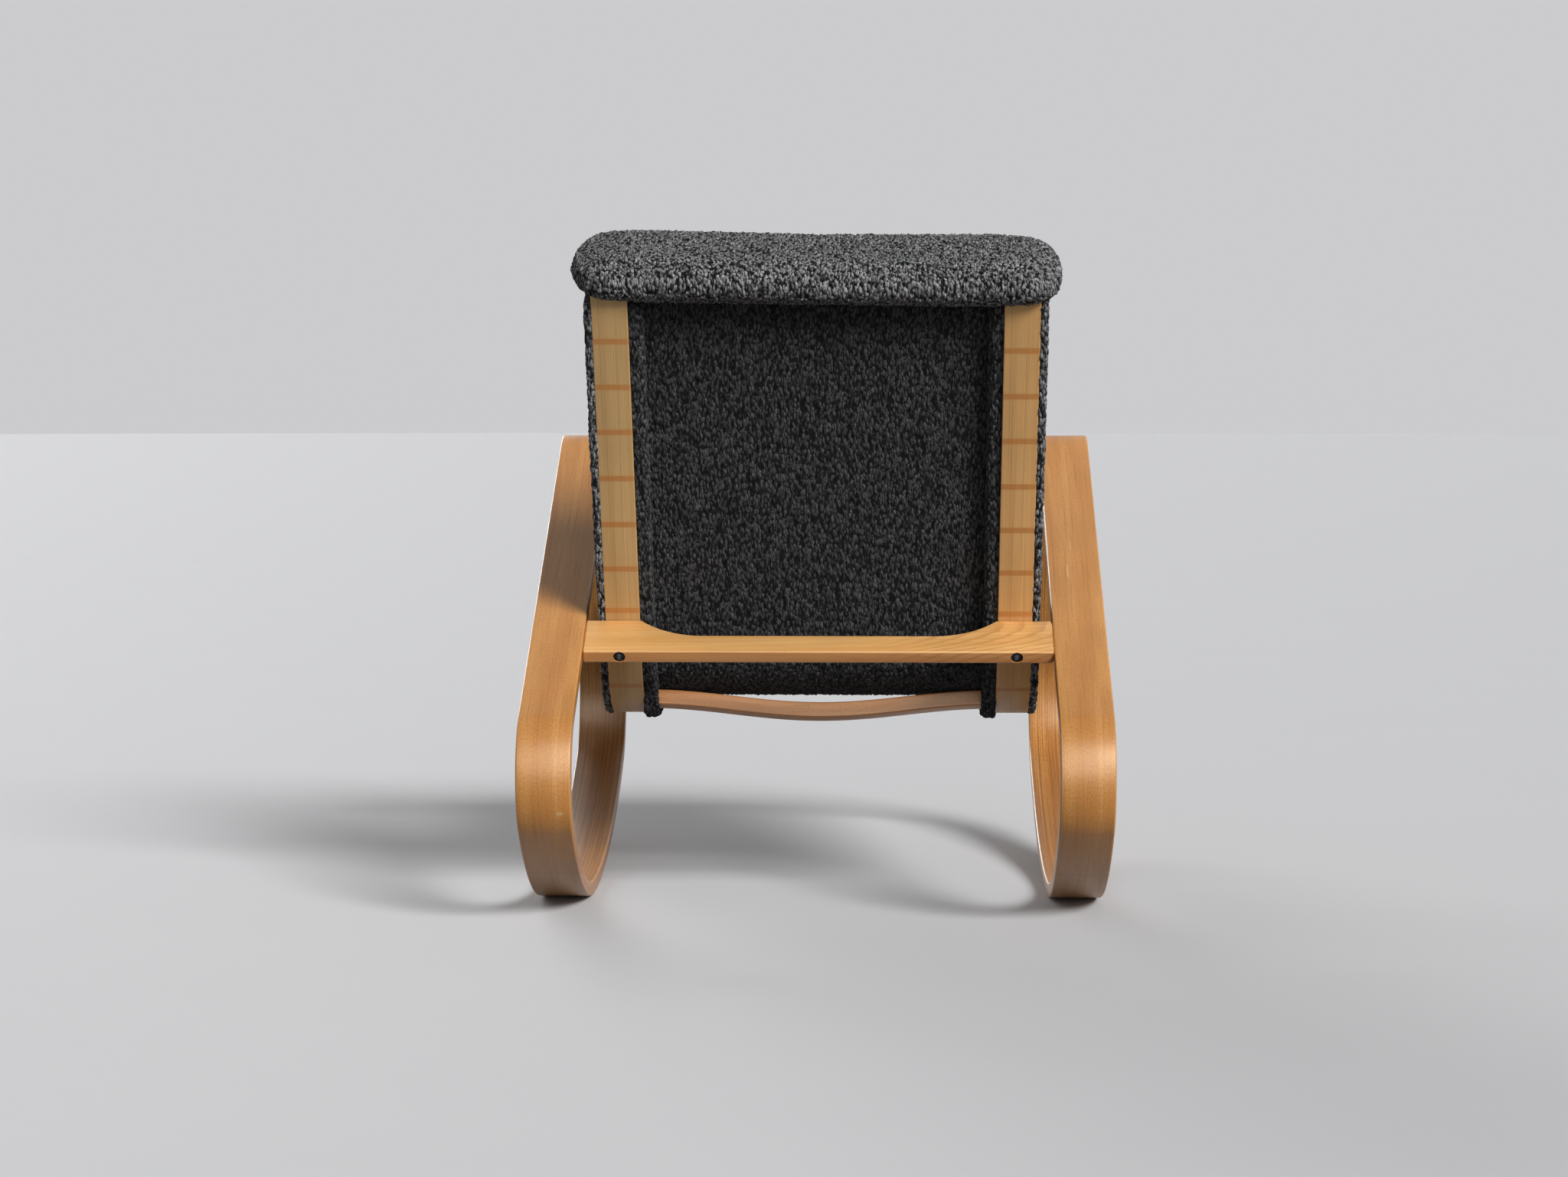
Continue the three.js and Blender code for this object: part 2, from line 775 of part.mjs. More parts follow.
function buildCloth() {
  const panelHalfWidth = railInnerHalfWidth - innerStripWidth - 2 * gap;
  const panel = seatBand(
    upholsteryTop, clothEnd, panelSetback, panelSetback + panelThickness, -panelHalfWidth, panelHalfWidth, 0,
  );
  addPiece('rear_cloth_panel', panel, darkLining);
  const outerFace = upholsteryHalfWidth;
  const innerFace = railInnerHalfWidth - gap;
  const strips = [
    {
      name: 'outer_edge_strip',
      from: upholsteryTop,
      to: railLength,
      depthFrom: 0,
      depthTo: strapDepth + strapThickness,
      near: railOuterHalfWidth + gap,
      far: outerFace,
      cloth: charcoalBoucle,
    },
    {
      name: 'inner_edge_strip',
      from: upholsteryTop,
      to: bowedBarPlace - bowedBarWidth / 2 - innerStripAboveBar,
      depthFrom: innerStripSetback,
      depthTo: railThickness,
      near: innerFace - innerStripWidth,
      far: innerFace,
      cloth: charcoalBoucle,
    },
    {
      name: 'seat_edge_strip',
      from: bowedBarPlace + bowedBarWidth / 2 + seatStripBelowBar,
      to: clothEnd,
      depthFrom: -seatStripDrop,
      depthTo: railThickness,
      near: innerFace - innerStripWidth,
      far: innerFace,
      cloth: darkLining,
    },
  ];
  for (const side of sides) {
    for (const strip of strips) {
      const [xFrom, xTo] = mirrored(side.sign, strip.near, strip.far);
      const band = seatBand(strip.from, strip.to, strip.depthFrom, strip.depthTo, xFrom, xTo, 0);
      addPiece(`${strip.name}_${side.name}`, band, strip.cloth);
    }
  }
}

// The headrest roll is an oval bolster with rounded ends, slotted for the rails and the top bar

function rollRing(x, size) {
  const line = seatLine(rollPlace);
  const centre = offsetPoint(line.point, line.inward, headrestSetback);
  const ring = [];
  for (let i = 0; i < headrestSides; i += 1) {
    const angle = (fullTurn * i) / headrestSides;
    const inward = headrestHalfDepth * size * Math.cos(angle);
    const along = headrestHalfHeight * size * Math.sin(angle);
    const place = offsetPoint(offsetPoint(centre, line.inward, inward), line.along, along);
    ring.push(new THREE.Vector3(x, place.x, place.y));
  }
  return ring;
}

function buildHeadrest() {
  const half = [];
  for (let i = 0; i <= headrestEndSteps; i += 1) {
    const angle = (quarterTurn * i) / headrestEndSteps;
    half.push({
      x: headrestHalfWidth - headrestEndRoll * (1 - Math.sin(angle)),
      size: headrestEndWallShare + (1 - headrestEndWallShare) * Math.cos(angle),
    });
  }
  const stations = [
    ...half.slice().reverse().map((station) => ({ x: -station.x, size: station.size })),
    ...half,
  ];
  const roll = loft(stations.map((station) => rollRing(station.x, station.size)));
  const slots = sides.map((side) => {
    const [xFrom, xTo] = mirrored(
      side.sign, railInnerHalfWidth - slotRoom, railOuterHalfWidth + slotRoom,
    );
    const rail = seatBand(0, upholsteryTop, -slotRoom, railThickness + slotRoom, xFrom, xTo, 0);
    const line = seatLine(0);
    return rail.translate(0, -line.along.x * slotRoom, -line.along.y * slotRoom);
  });
  const topBar = innerBars[0].place;
  slots.push(seatBand(
    topBar - innerBarWidth / 2 - slotRoom,
    topBar + innerBarWidth / 2 + slotRoom,
    innerBarSetback - slotRoom,
    innerBarSetback + innerBarThickness + slotRoom,
    -railInnerHalfWidth,
    railInnerHalfWidth,
    0,
  ));
  addPiece('headrest_roll', cut(roll, slots), charcoalBoucle);
}

buildLoops();
buildCrossBars();
buildRails();
buildInnerBars();
buildWebbing();
buildCloth();
buildPads();
buildHeadrest();

// The chair stands with the middle of its length over the origin

const extent = new THREE.Box3().setFromObject(chair);
chair.position.y = -(extent.min.y + extent.max.y) / 2;
chair.updateMatrixWorld(true);

export default chair;
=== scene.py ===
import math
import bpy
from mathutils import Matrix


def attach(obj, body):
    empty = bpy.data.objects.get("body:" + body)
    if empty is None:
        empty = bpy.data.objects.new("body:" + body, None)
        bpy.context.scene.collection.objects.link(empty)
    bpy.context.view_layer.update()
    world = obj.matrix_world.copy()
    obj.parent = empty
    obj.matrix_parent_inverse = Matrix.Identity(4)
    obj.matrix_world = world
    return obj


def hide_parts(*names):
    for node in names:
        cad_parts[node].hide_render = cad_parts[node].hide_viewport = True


bl_info = {
    "name": "Bentwood Rocking Chair",
    "version": (1, 0, 0),
    "blender": (4, 5, 0),
    "location": "View3D > Sidebar > Rocking Chair",
    "description": "Builds a bentwood rocking chair with a boucle seat on its CAD frame",
    "category": "Object",
}

import bmesh
import bpy
import numpy as np
from bpy.props import FloatProperty, FloatVectorProperty, IntProperty, PointerProperty
from mathutils import Vector

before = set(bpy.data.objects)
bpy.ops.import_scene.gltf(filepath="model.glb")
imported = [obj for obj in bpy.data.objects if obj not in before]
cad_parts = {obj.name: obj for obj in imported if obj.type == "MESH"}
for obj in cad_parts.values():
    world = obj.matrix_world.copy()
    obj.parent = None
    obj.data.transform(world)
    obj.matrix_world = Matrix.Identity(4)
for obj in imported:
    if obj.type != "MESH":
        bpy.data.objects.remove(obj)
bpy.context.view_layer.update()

DEGREE = math.pi / 180
SIDES = (("left", 1.0), ("right", -1.0))
JOINT_GAP = 0.0003
BAR_DEPTH = 0.069


def length(name, description, default):
    return FloatProperty(
        name=name, description=description, default=default, min=0.0, unit="LENGTH", precision=4
    )


def strength(name, description, default):
    return FloatProperty(name=name, description=description, default=default, min=0.0)


def colour(name, description, default):
    return FloatVectorProperty(
        name=name, description=description, default=default, size=3, min=0.0, max=1.0, subtype="COLOR"
    )


class ChairWoodSizes(bpy.types.PropertyGroup):
    """Sizes of the wooden pieces, in metres."""

    band_width: length("Loop width", "Width of the bent band of a side loop", 0.063)
    band_thickness: length("Loop thickness", "Thickness of the bent band of a side loop", 0.018)
    loop_inner: length("Loop inner place", "From the chair's middle to a loop's inner side", 0.277)
    rail_inner: length("Rail inner place", "From the chair's middle to a rail's inner side", 0.2125)
    rail_width: length("Rail width", "Width of a seat rail", 0.0415)
    rail_thickness: length("Rail thickness", "Thickness of a seat rail", 0.026)
    bar_depth: length("Cross bar depth", "Depth of the board between the loops", BAR_DEPTH)
    bar_thickness: length("Cross bar thickness", "Thickness of the board between the loops", 0.016)
    scoop_depth: length("Scoop depth", "Depth of the hollow in a cross bar's edge", 0.033)
    edge_round: length("Edge rounding", "Radius of the eased wooden edges", 0.0021)
    lamella: length("Layer thickness", "Thickness of one glued layer of a side loop", 0.003)


class ChairClothSizes(bpy.types.PropertyGroup):
    """Sizes of the upholstery, in metres."""

    half_width: length("Half width", "From the chair's middle to the upholstery's side", 0.262)
    back_thickness: length("Back pad", "Thickness of the back pad", 0.072)
    seat_thickness: length("Seat pad", "Thickness of the seat pad", 0.044)
    knee_thickness: length("Knee pad", "Thickness of the seat pad over the knee", 0.026)
    roll_half_width: length("Headrest half width", "From the chair's middle to the headrest's end", 0.276)
    roll_half_height: length("Headrest half height", "Half of the headrest's height along the back", 0.031)
    roll_half_depth: length("Headrest half depth", "Half of the headrest's depth", 0.064)
    tuft_width: length("Tuft width", "Width of one tuft of the boucle", 0.0028)
    tuft_length: length("Tuft length", "Length of one tuft of the boucle", 0.0068)
    tuft_height: length("Tuft height", "How far a tuft stands out", 0.0030)
    plump_frames: IntProperty(
        name="Plumping steps", description="Steps of the cloth simulation", default=20, min=1
    )


class ChairColours(bpy.types.PropertyGroup):
    """Colours of the woods and the cloth."""

    loop_pale: colour("Loop pale", "Palest wood of the side loops", (0.600, 0.285, 0.080))
    loop_mid: colour("Loop middle", "Main wood colour of the side loops", (0.505, 0.214, 0.050))
    loop_deep: colour("Loop deep", "Darkest grain of the side loops", (0.260, 0.085, 0.018))
    ash_pale: colour("Ash pale", "Palest wood of the cross bars", (0.76, 0.440, 0.165))
    ash_mid: colour("Ash middle", "Main wood colour of the cross bars", (0.655, 0.335, 0.105))
    ash_deep: colour("Ash deep", "Grain lines of the cross bars", (0.43, 0.180, 0.046))
    rail_pale: colour("Rail pale", "Palest wood of the seat rails", (0.60, 0.405, 0.190))
    rail_mid: colour("Rail middle", "Main wood colour of the seat rails", (0.50, 0.320, 0.138))
    rail_deep: colour("Rail deep", "Grain lines of the seat rails", (0.31, 0.170, 0.062))
    rail_band: colour("Rail band", "Tan bands across the seat rails", (0.46, 0.180, 0.042))
    bowed_pale: colour("Bowed bar pale", "Palest wood of the bowed bar", (0.62, 0.280, 0.098))
    bowed_mid: colour("Bowed bar middle", "Main wood colour of the bowed bar", (0.52, 0.205, 0.062))
    bowed_deep: colour("Bowed bar flecks", "Dark flecks of the bowed bar", (0.19, 0.075, 0.030))
    tuft_light: colour("Tuft light", "Palest yarn of the boucle", (0.43, 0.43, 0.43))
    tuft_grey: colour("Tuft grey", "Main yarn of the boucle", (0.140, 0.140, 0.145))
    # The gap tone is the cloth's dark ground, deepened with painted shade between the tufts.
    tuft_gap_and_shade: colour("Tuft gap", "Ground between the tufts", (0.0045, 0.0045, 0.005))
    floor: colour("Floor", "The studio floor", (0.62, 0.62, 0.63))


class ChairStudio(bpy.types.PropertyGroup):
    """The studio's lamps."""

    key_power: strength("Main lamp", "Strength of the main lamp", 3.5)
    fill_power: strength("Side lamp", "Strength of the side lamp", 0.20)
    front_power: strength("Front lamp", "Strength of the front lamp", 1.4)
    gloss_power: strength("Gloss lamp", "Strength of the lamp that only glosses", 2.5)
    sky_strength: strength("Room light", "Strength of the room's light", 0.14)


# The side loops' outline from the side. A point is (y, z), and a turn starts straight down.

FORWARD_SHIFT = 0.085756
REAR_RUNNER_RADIUS = 0.512
FRONT_RUNNER_RADIUS = 1.098
REAR_RUNNER_TURN = 38.6 * DEGREE
FRONT_RUNNER_TURN = (360 - 25.4) * DEGREE
REST_FLAT = 0.036
REAR_BEND_RADIUS = 0.084
FRONT_BEND_RADIUS = 0.101
APEX_RADIUS = 0.083
REAR_LEG_TURN = (180 - 28.5) * DEGREE
REAR_LEG_LENGTH = 0.622
BAR_PLACE_ON_LEG = 0.127
LOOP_STEP = 0.005

# The seat's line: the rails' rear face from the top end down, in runs of a length and a curvature.

BACK_HEADING = -118.5 * DEGREE
BEND_RADIUS = 0.140
KNEE_RADIUS = 0.030
SEAT_PIECES = (
    (0.519, 0.0),
    (BEND_RADIUS * 78.5 * DEGREE, 1 / BEND_RADIUS),
    (0.430, 0.0),
    (KNEE_RADIUS * 67 * DEGREE, -1 / KNEE_RADIUS),
    (0.012, 0.0),
)
BEND_START = SEAT_PIECES[0][0]
SEAT_START = BEND_START + SEAT_PIECES[1][0]
KNEE_START = SEAT_START + SEAT_PIECES[2][0]
KNEE_END = KNEE_START + SEAT_PIECES[3][0]
RAIL_END = KNEE_END + SEAT_PIECES[4][0]

# Places of the pieces, as distances down the seat's line

REAR_BAR = 0.462
FRONT_BAR = SEAT_START + 0.405
BARS = (("rear", REAR_BAR), ("front", FRONT_BAR))
BOWED_BAR = BEND_START + BEND_RADIUS * 39.5 * DEGREE
CREASE = BEND_START + BEND_RADIUS * 36 * DEGREE
ROLL_PLACE = 0.016
CLOTH_TOP = 0.050
CLOTH_END = FRONT_BAR - 0.003
LIP_CHANGE = BOWED_BAR + 0.013
TAPER_START = KNEE_START - 0.360

# Depths from the rails' rear face towards the sitter

ROLL_DEPTH = 0.040
PAD_BASE = 0.0286
PANEL_DEPTH = 0.0225

# Marks on the wood, as distances along the piece, and where the grain of two bars starts

FRONT_BAR_GRAIN = 0.9
BOWED_BAR_GRAIN = 2.0
LOOP_JOINTS = (0.221,)
PUTTY = (0.62, 0.38, 0.17)
SCRATCH = (0.82, 0.60, 0.36)
LOOP_MARKS = {
    "left": ((0.361, 0.0135, 0.0036, 0.0052, 0.75, PUTTY), (0.27, 0.047, 0.004, 0.0016, 0.5, PUTTY)),
    "right": ((0.80, 0.040, 0.022, 0.0007, 0.5, SCRATCH), (0.86, 0.034, 0.015, 0.0006, 0.4, SCRATCH)),
}
# Each rail's tint on its pale and middle tones. The right rail's warmer, brighter tone is partly its own
# wood, partly painted light from the main lamp's side.
RAIL_WARMTH_AND_LIGHT = {"left": (1.02, 0.97, 0.90), "right": (1.20, 1.02, 0.86)}
RAIL_BANDS = {
    "left": (0.0886, 0.1476, 0.2064, 0.2679, 0.3301, 0.3909, 0.4487, 0.5045, 0.5604),
    "right": (0.1007, 0.1597, 0.2182, 0.2787, 0.3374, 0.3958, 0.4529, 0.5095, 0.5660),
}

# Sizes of the wooden details and the bolts

SCOOP_RADIUS = 0.100
SCOOP_MARGIN = 0.002
RAIL_ROUND = 0.0016
RAIL_END_EASE = 0.0012
RAIL_STEP = 0.006
RAIL_LAYER = 0.0026
BAND_EDGES = (-0.0042, -0.0030, 0.0030, 0.0042)
BAND_REACH = 0.0043
BAND_FADE = 0.0012
BAND_DEPTH = 0.004
BOWED_WIDTH = 0.020
BOWED_THICKNESS = 0.019
BOWED_DEPTH = 0.0015
BOW = 0.016
RECESS_RADIUS = 0.0071
RECESS_DEPTH = 0.0093
HEAD_SUNK = 0.001
BOLT_SIDES = 72
SOCKET_REACH = 0.0034
SOCKET_DEPTH = 0.0026
KNURL_RADIUS = 0.0064
HEAD_TOP = ((0.0056, 0.0), (0.0061, 0.00025), (0.0063, 0.0008))
HEAD_FOOT = ((0.0062, 0.008), (0.0040, 0.008))
SHANK_START = 0.0085
SHANK_RADIUS = 0.0039
THREAD_START = 0.045
THREAD_STEP = 0.00073
THREAD_RINGS = 100

# The cloth. Before plumping a pad is smaller by the room at its sides and its front.

PAD_STEP = 0.0052
PAD_RING_POINTS = 178
PAD_SIDE_ROOM = 0.003
PAD_FRONT_ROOM = 0.004
PAD_SIDE_BOW = 0.003
PAD_CROWN = 0.007
PAD_PRESSURE = 3.0
PAD_MOST_MOVED = 0.008
ROLL_RING_POINTS = 56
ROLL_SQUARENESS = 2.5
ROLL_END_EXTRA = 0.0015
ROLL_ENDS = {"right": (0.052, 2.6), "left": (0.048, 2.1)}
ROLL_PRESSURE = 4.0
ROLL_MOST_MOVED = 0.0036
STRIP_STEP = 0.0019
STRIP_END_EASE = 0.009
LIP_REACH = 0.0163
PANEL_REACH = 0.0166
PANEL_STEP = 0.0021
PANEL_FINE_END = 0.640
CLOTH_SETTINGS = {
    "quality": 5,
    "mass": 0.3,
    "tension_stiffness": 12,
    "compression_stiffness": 8,
    "shear_stiffness": 6,
    "bending_stiffness": 1.2,
    "use_pressure": True,
}

# The studio

FLOOR_RINGS = (0.5, 1.5, 4.0, 12.0, 40.0)
FLOOR_SIDES = 64
BACKGROUND = (0.60, 0.60, 0.615)
LAMPS = (
    ("main_lamp", (-0.62, 0.84, 0.63), "key_power", 20),
    ("side_lamp", (-0.15, 1.0, 0.33), "fill_power", 30),
    ("front_lamp", (0.5, -1.0, 0.35), "front_power", 30),
    ("gloss_lamp", (-0.14, 1.0, 0.46), "gloss_power", 56),
)
CAMERA_PLACE = (-0.074, 4.3948, 0.626)
CAMERA_YAW = 1.58 * DEGREE
CAMERA_PITCH = 3.34 * DEGREE


def side_direction(turn):
    return np.stack([np.sin(turn), -np.cos(turn)], -1)


def quarter_turned(direction):
    return np.stack([-direction[..., 1], direction[..., 0]], -1)


def runner(radius):
    """A runner's centre, and the turn at which its curve meets the flat that it rests on."""
    flat = math.asin(REST_FLAT / 2 / radius)
    return np.array([FORWARD_SHIFT, radius * math.cos(flat)]), flat


def rear_leg():
    """The centre of the bend below the rear leg, and the leg's outward and upward directions."""
    centre, _ = runner(REAR_RUNNER_RADIUS)
    bend = centre + side_direction(REAR_RUNNER_TURN) * (REAR_RUNNER_RADIUS - REAR_BEND_RADIUS)
    outward = side_direction(REAR_LEG_TURN)
    return bend, outward, quarter_turned(outward)


def loop_line(step):
    """The side loop's outer line as places, outward directions and distances, once round."""
    rear_runner, rear_flat = runner(REAR_RUNNER_RADIUS)
    front_runner, front_flat = runner(FRONT_RUNNER_RADIUS)
    rear_bend, leg_outward, leg_up = rear_leg()
    front_reach = FRONT_RUNNER_RADIUS - FRONT_BEND_RADIUS
    front_bend = front_runner + side_direction(FRONT_RUNNER_TURN) * front_reach
    apex = rear_bend + leg_outward * (REAR_BEND_RADIUS - APEX_RADIUS) + leg_up * REAR_LEG_LENGTH
    span = apex - front_bend
    lean = math.atan2(span[1], span[0])
    lean -= math.asin((FRONT_BEND_RADIUS - APEX_RADIUS) / np.linalg.norm(span))
    front_leg_turn = math.pi + lean
    bends = (
        (rear_runner, REAR_RUNNER_RADIUS, rear_flat, REAR_RUNNER_TURN),
        (rear_bend, REAR_BEND_RADIUS, REAR_RUNNER_TURN, REAR_LEG_TURN),
        (apex, APEX_RADIUS, REAR_LEG_TURN, front_leg_turn),
        (front_bend, FRONT_BEND_RADIUS, front_leg_turn, FRONT_RUNNER_TURN),
        (front_runner, FRONT_RUNNER_RADIUS, FRONT_RUNNER_TURN, 2 * math.pi - front_flat),
    )
    places, outward = [], []
    for centre, radius, start, end in bends:
        steps = max(2, round(radius * (end - start) / step))
        for turn in np.linspace(start, end, steps + 1):
            direction = side_direction(turn)
            place = centre + direction * radius
            gap = np.linalg.norm(place - places[-1]) if places else step
            if gap > 2 * step:
                last, run = places[-1], round(gap / step)
                places += [last + (place - last) * i / run for i in range(1, run)]
                outward += [direction] * (run - 1)
            if gap > step / 10:
                places.append(place)
                outward.append(direction)
    places, outward = np.array(places), np.array(outward)
    gaps = np.linalg.norm(np.diff(places, axis=0, append=places[:1]), axis=1)
    return places, outward, np.concatenate([[0.0], np.cumsum(gaps)])


def rail_top():
    bend, outward, up = rear_leg()
    corner = bend + outward * REAR_BEND_RADIUS + up * (BAR_PLACE_ON_LEG + BAR_DEPTH)
    return corner - REAR_BAR * quarter_turned(side_direction(BACK_HEADING))


def seat_line(distances):
    """Places, directions along and directions towards the sitter at distances down the rails."""
    left = np.atleast_1d(np.asarray(distances, float))
    place = np.tile(rail_top(), (len(left), 1))
    heading = np.full(len(left), BACK_HEADING)
    for number, (run, curvature) in enumerate(SEAT_PIECES):
        step = left if number == len(SEAT_PIECES) - 1 else np.minimum(left, run)
        if number > 0:
            step = np.maximum(step, 0.0)
        if curvature == 0:
            place = place + step[:, None] * quarter_turned(side_direction(heading))
        else:
            centre = place + side_direction(heading) / curvature
            heading = heading - step * curvature
            place = centre - side_direction(heading) / curvature
        left = left - step
    inward = side_direction(heading)
    return place, quarter_turned(inward), inward


def with_x(x, flat):
    """Points from their places across the chair and their places in the side view."""
    return np.concatenate([np.broadcast_to(x, flat.shape[:-1])[..., None], flat], -1)


def seat_points(x, distance, depth):
    """Points of the chair at x across, distance down the rails and depth towards the sitter."""
    x, distance, depth = np.broadcast_arrays(x, distance, depth)
    place, _, inward = seat_line(distance.ravel())
    place = place + inward * depth.ravel()[:, None]
    return with_x(x, place.reshape(x.shape + (2,)))


def points_beside(distance, x, across, depth):
    """Points by one place of the rails: across goes straight on down them, depth to the sitter."""
    place, along, inward = (part[0] for part in seat_line(distance))
    return with_x(x, place + along * across[..., None] + inward * depth[..., None])


def smooth_share(value):
    share = np.clip(value, 0, 1)
    return share * share * (3 - 2 * share)


def signed_power(value, power):
    return np.sign(value) * np.abs(value) ** power


# Meshes


def add_object(name, data):
    piece = bpy.data.objects.new(name, data)
    bpy.context.scene.collection.objects.link(piece)
    return piece


def new_piece(name, points, faces, smooth_angle=40.0):
    mesh = bpy.data.meshes.new(name)
    mesh.from_pydata(points.tolist(), [], faces)
    mesh.update()
    mesh.shade_smooth()
    if smooth_angle:
        mesh.set_sharp_from_angle(angle=smooth_angle * DEGREE)
    return add_object(name, mesh)


def remove_piece(piece):
    mesh = piece.data
    bpy.data.objects.remove(piece)
    bpy.data.meshes.remove(mesh)


def set_attribute(piece, name, values, domain="POINT"):
    """Gives the mesh an attribute. Rows of three numbers make it a vector."""
    values = np.asarray(values, np.float32)
    wide = values.ndim > 1 and values.shape[-1] == 3
    attribute = piece.data.attributes.new(name, "FLOAT_VECTOR" if wide else "FLOAT", domain)
    attribute.data.foreach_set("vector" if wide else "value", values.ravel())


def threes(items, field, stored=np.float32, wanted=float):
    """One field of all items, in rows of three numbers."""
    values = np.empty(len(items) * 3, stored)
    items.foreach_get(field, values)
    return values.reshape(-1, 3).astype(wanted)


def mesh_points(mesh):
    return threes(mesh.vertices, "co")


def move_points(mesh, points):
    mesh.vertices.foreach_set("co", points.astype(np.float32).ravel())
    mesh.update()


def rounded_section(width, thickness, radius, corner_steps=4):
    """A round-cornered rectangle from (0, 0), and one for the points on its corners."""
    points, edge = [], []
    corners = (
        (width - radius, thickness - radius, 0.0),
        (radius, thickness - radius, 0.5 * math.pi),
        (radius, radius, math.pi),
        (width - radius, radius, 1.5 * math.pi),
    )
    for cx, cy, start in corners:
        for i in range(corner_steps + 1):
            turn = start + 0.5 * math.pi * i / corner_steps
            points.append((cx + radius * math.cos(turn), cy + radius * math.sin(turn)))
            edge.append(1.0 if 0 < i < corner_steps else 0.0)
    return np.array(points), np.array(edge)


def ring_faces(rings, count, closed=False):
    """Faces of rings of count points, and the ring and place of each quad's corners."""
    spans = rings if closed else rings - 1
    ring, place = np.meshgrid(np.arange(spans), np.arange(count), indexing="ij")
    ring, place = ring.ravel(), place.ravel()
    ring = np.stack([ring, ring + 1, ring + 1, ring], 1)
    place = np.stack([place, place, place + 1, place + 1], 1) % count
    faces = ((ring % rings) * count + place).tolist()
    if not closed:
        end = np.arange(count)
        faces += [end.tolist(), ((rings - 1) * count + end)[::-1].tolist()]
    return faces, ring, place


def make_outward(piece):
    """Turns the faces outward if they look inward."""
    mesh = piece.data
    mesh.calc_loop_triangles()
    corners = threes(mesh.loop_triangles, "vertices", np.int32, int)
    first, second, third = mesh_points(mesh)[corners].transpose(1, 0, 2)
    if (first * np.cross(second, third)).sum() < 0:
        mesh.flip_normals()


def sweep(name, rings, distances, sections, edge, closed=False):
    """A bar whose rings of points follow a line. Its grain attribute is distance, width and depth."""
    count = rings.shape[1]
    faces, ring, place = ring_faces(len(rings), count, closed)
    sections = np.broadcast_to(sections, (len(rings), count, 2))
    sides = np.concatenate([distances[ring][..., None], sections[ring % len(rings), place]], -1)
    grain = [sides.reshape(-1, 3)]
    if not closed:
        ends = ((0, 1), (-1, -1))
        grain += [np.insert(sections[end], 0, distances[end], 1)[::order] for end, order in ends]
    piece = new_piece(name, rings.reshape(-1, 3), faces)
    set_attribute(piece, "grain", np.concatenate(grain), "CORNER")
    set_attribute(piece, "edge", np.tile(edge, len(rings)))
    make_outward(piece)
    return piece


def round_ends(stations, section, ease):
    """Stations and sections of a bar with a smaller section at each end, and a full one an ease away."""
    middle = section.mean(0)
    half = np.abs(section - middle).max(0)
    eased = middle + (section - middle) * (1 - ease / half)
    first, last = stations[0], stations[-1]
    stations = np.concatenate([[first, first + ease], stations[1:-1], [last - ease, last]])
    return stations, np.stack([eased] + [section] * (len(stations) - 2) + [eased])


def side_start(sign, inner, width):
    """The lowest x of a piece that starts at inner on one side of the chair."""
    return inner if sign > 0 else -inner - width


# Materials


class Nodes:
    """The node tree of a material or a world, with short calls that add to it."""

    def __init__(self, owner):
        owner.use_nodes = True
        self.tree = owner.node_tree
        self.tree.nodes.clear()

    def feed(self, socket, value):
        """Links another node's output to a socket, or gives the socket a number or a colour."""
        if isinstance(value, bpy.types.NodeSocket):
            self.tree.links.new(value, socket)
        elif socket.type == "RGBA":
            socket.default_value = (*value, 1.0)
        else:
            socket.default_value = value

    def add(self, kind, inputs=None, **settings):
        node = self.tree.nodes.new("ShaderNode" + kind)
        for key, value in settings.items():
            setattr(node, key, value)
        for key, value in (inputs or {}).items():
            self.feed(node.inputs[key], value)
        return node

    def attribute(self, name, output="Fac"):
        return self.add("Attribute", attribute_name=name).outputs[output]

    def object_place(self):
        return self.add("TexCoord").outputs["Object"]

    def math(self, operation, first, second=0.0):
        return self.add("Math", {0: first, 1: second}, operation=operation).outputs[0]

    def plus(self, first, second):
        return self.math("ADD", first, second)

    def minus(self, first, second):
        return self.math("SUBTRACT", first, second)

    def times(self, first, second):
        return self.math("MULTIPLY", first, second)

    def over(self, first, second):
        return self.math("DIVIDE", first, second)

    def vector(self, operation, first, second):
        return self.add("VectorMath", {0: first, 1: second}, operation=operation).outputs[0]

    def noise(self, vector, scale, detail=3.0, roughness=0.55, distortion=0.0):
        """Noise at one scale, or at a scale for each axis."""
        if not isinstance(scale, float):
            vector, scale = self.vector("MULTIPLY", vector, scale), 1.0
        inputs = {"Vector": vector, "Scale": scale, "Detail": detail}
        inputs.update({"Roughness": roughness, "Distortion": distortion})
        return self.add("TexNoise", inputs).outputs["Fac"]

    def ranged(self, value, low, high, to_low=0.0, to_high=1.0, kind="SMOOTHSTEP"):
        inputs = {"Value": value, "From Min": low, "From Max": high, "To Min": to_low, "To Max": to_high}
        return self.add("MapRange", inputs, interpolation_type=kind).outputs["Result"]

    def mixed(self, amount, first, second, blend="MIX"):
        colours = {0: amount, 6: first, 7: second}
        return self.add("Mix", colours, data_type="RGBA", blend_type=blend, clamp_factor=True).outputs[2]

    def seen_rays(self):
        """One for the rays that see the background straight, in a gloss or through glass."""
        rays = self.add("LightPath").outputs
        straight = self.math("MAXIMUM", rays["Is Camera Ray"], rays["Is Transmission Ray"])
        return self.math("MAXIMUM", straight, rays["Is Glossy Ray"])


class Look(Nodes):
    """A new material, given back when its shader's inputs are fed."""

    def __init__(self, name):
        self.material = bpy.data.materials.new(name)
        super().__init__(self.material)
        self.shader = self.add("BsdfPrincipled")
        self.add("OutputMaterial", {"Surface": self.shader.outputs["BSDF"]})

    def made(self, tone, roughness, height=None, bump=0.0, distance=0.0, **more):
        inputs = {"Base Color": tone, "Roughness": roughness}
        inputs.update((key.replace("_", " "), value) for key, value in more.items())
        if height is not None:
            relief = self.add("Bump", {"Height": height, "Strength": bump, "Distance": distance})
            inputs["Normal"] = relief.outputs["Normal"]
        for key, value in inputs.items():
            self.feed(self.shader.inputs[key], value)
        return self.material


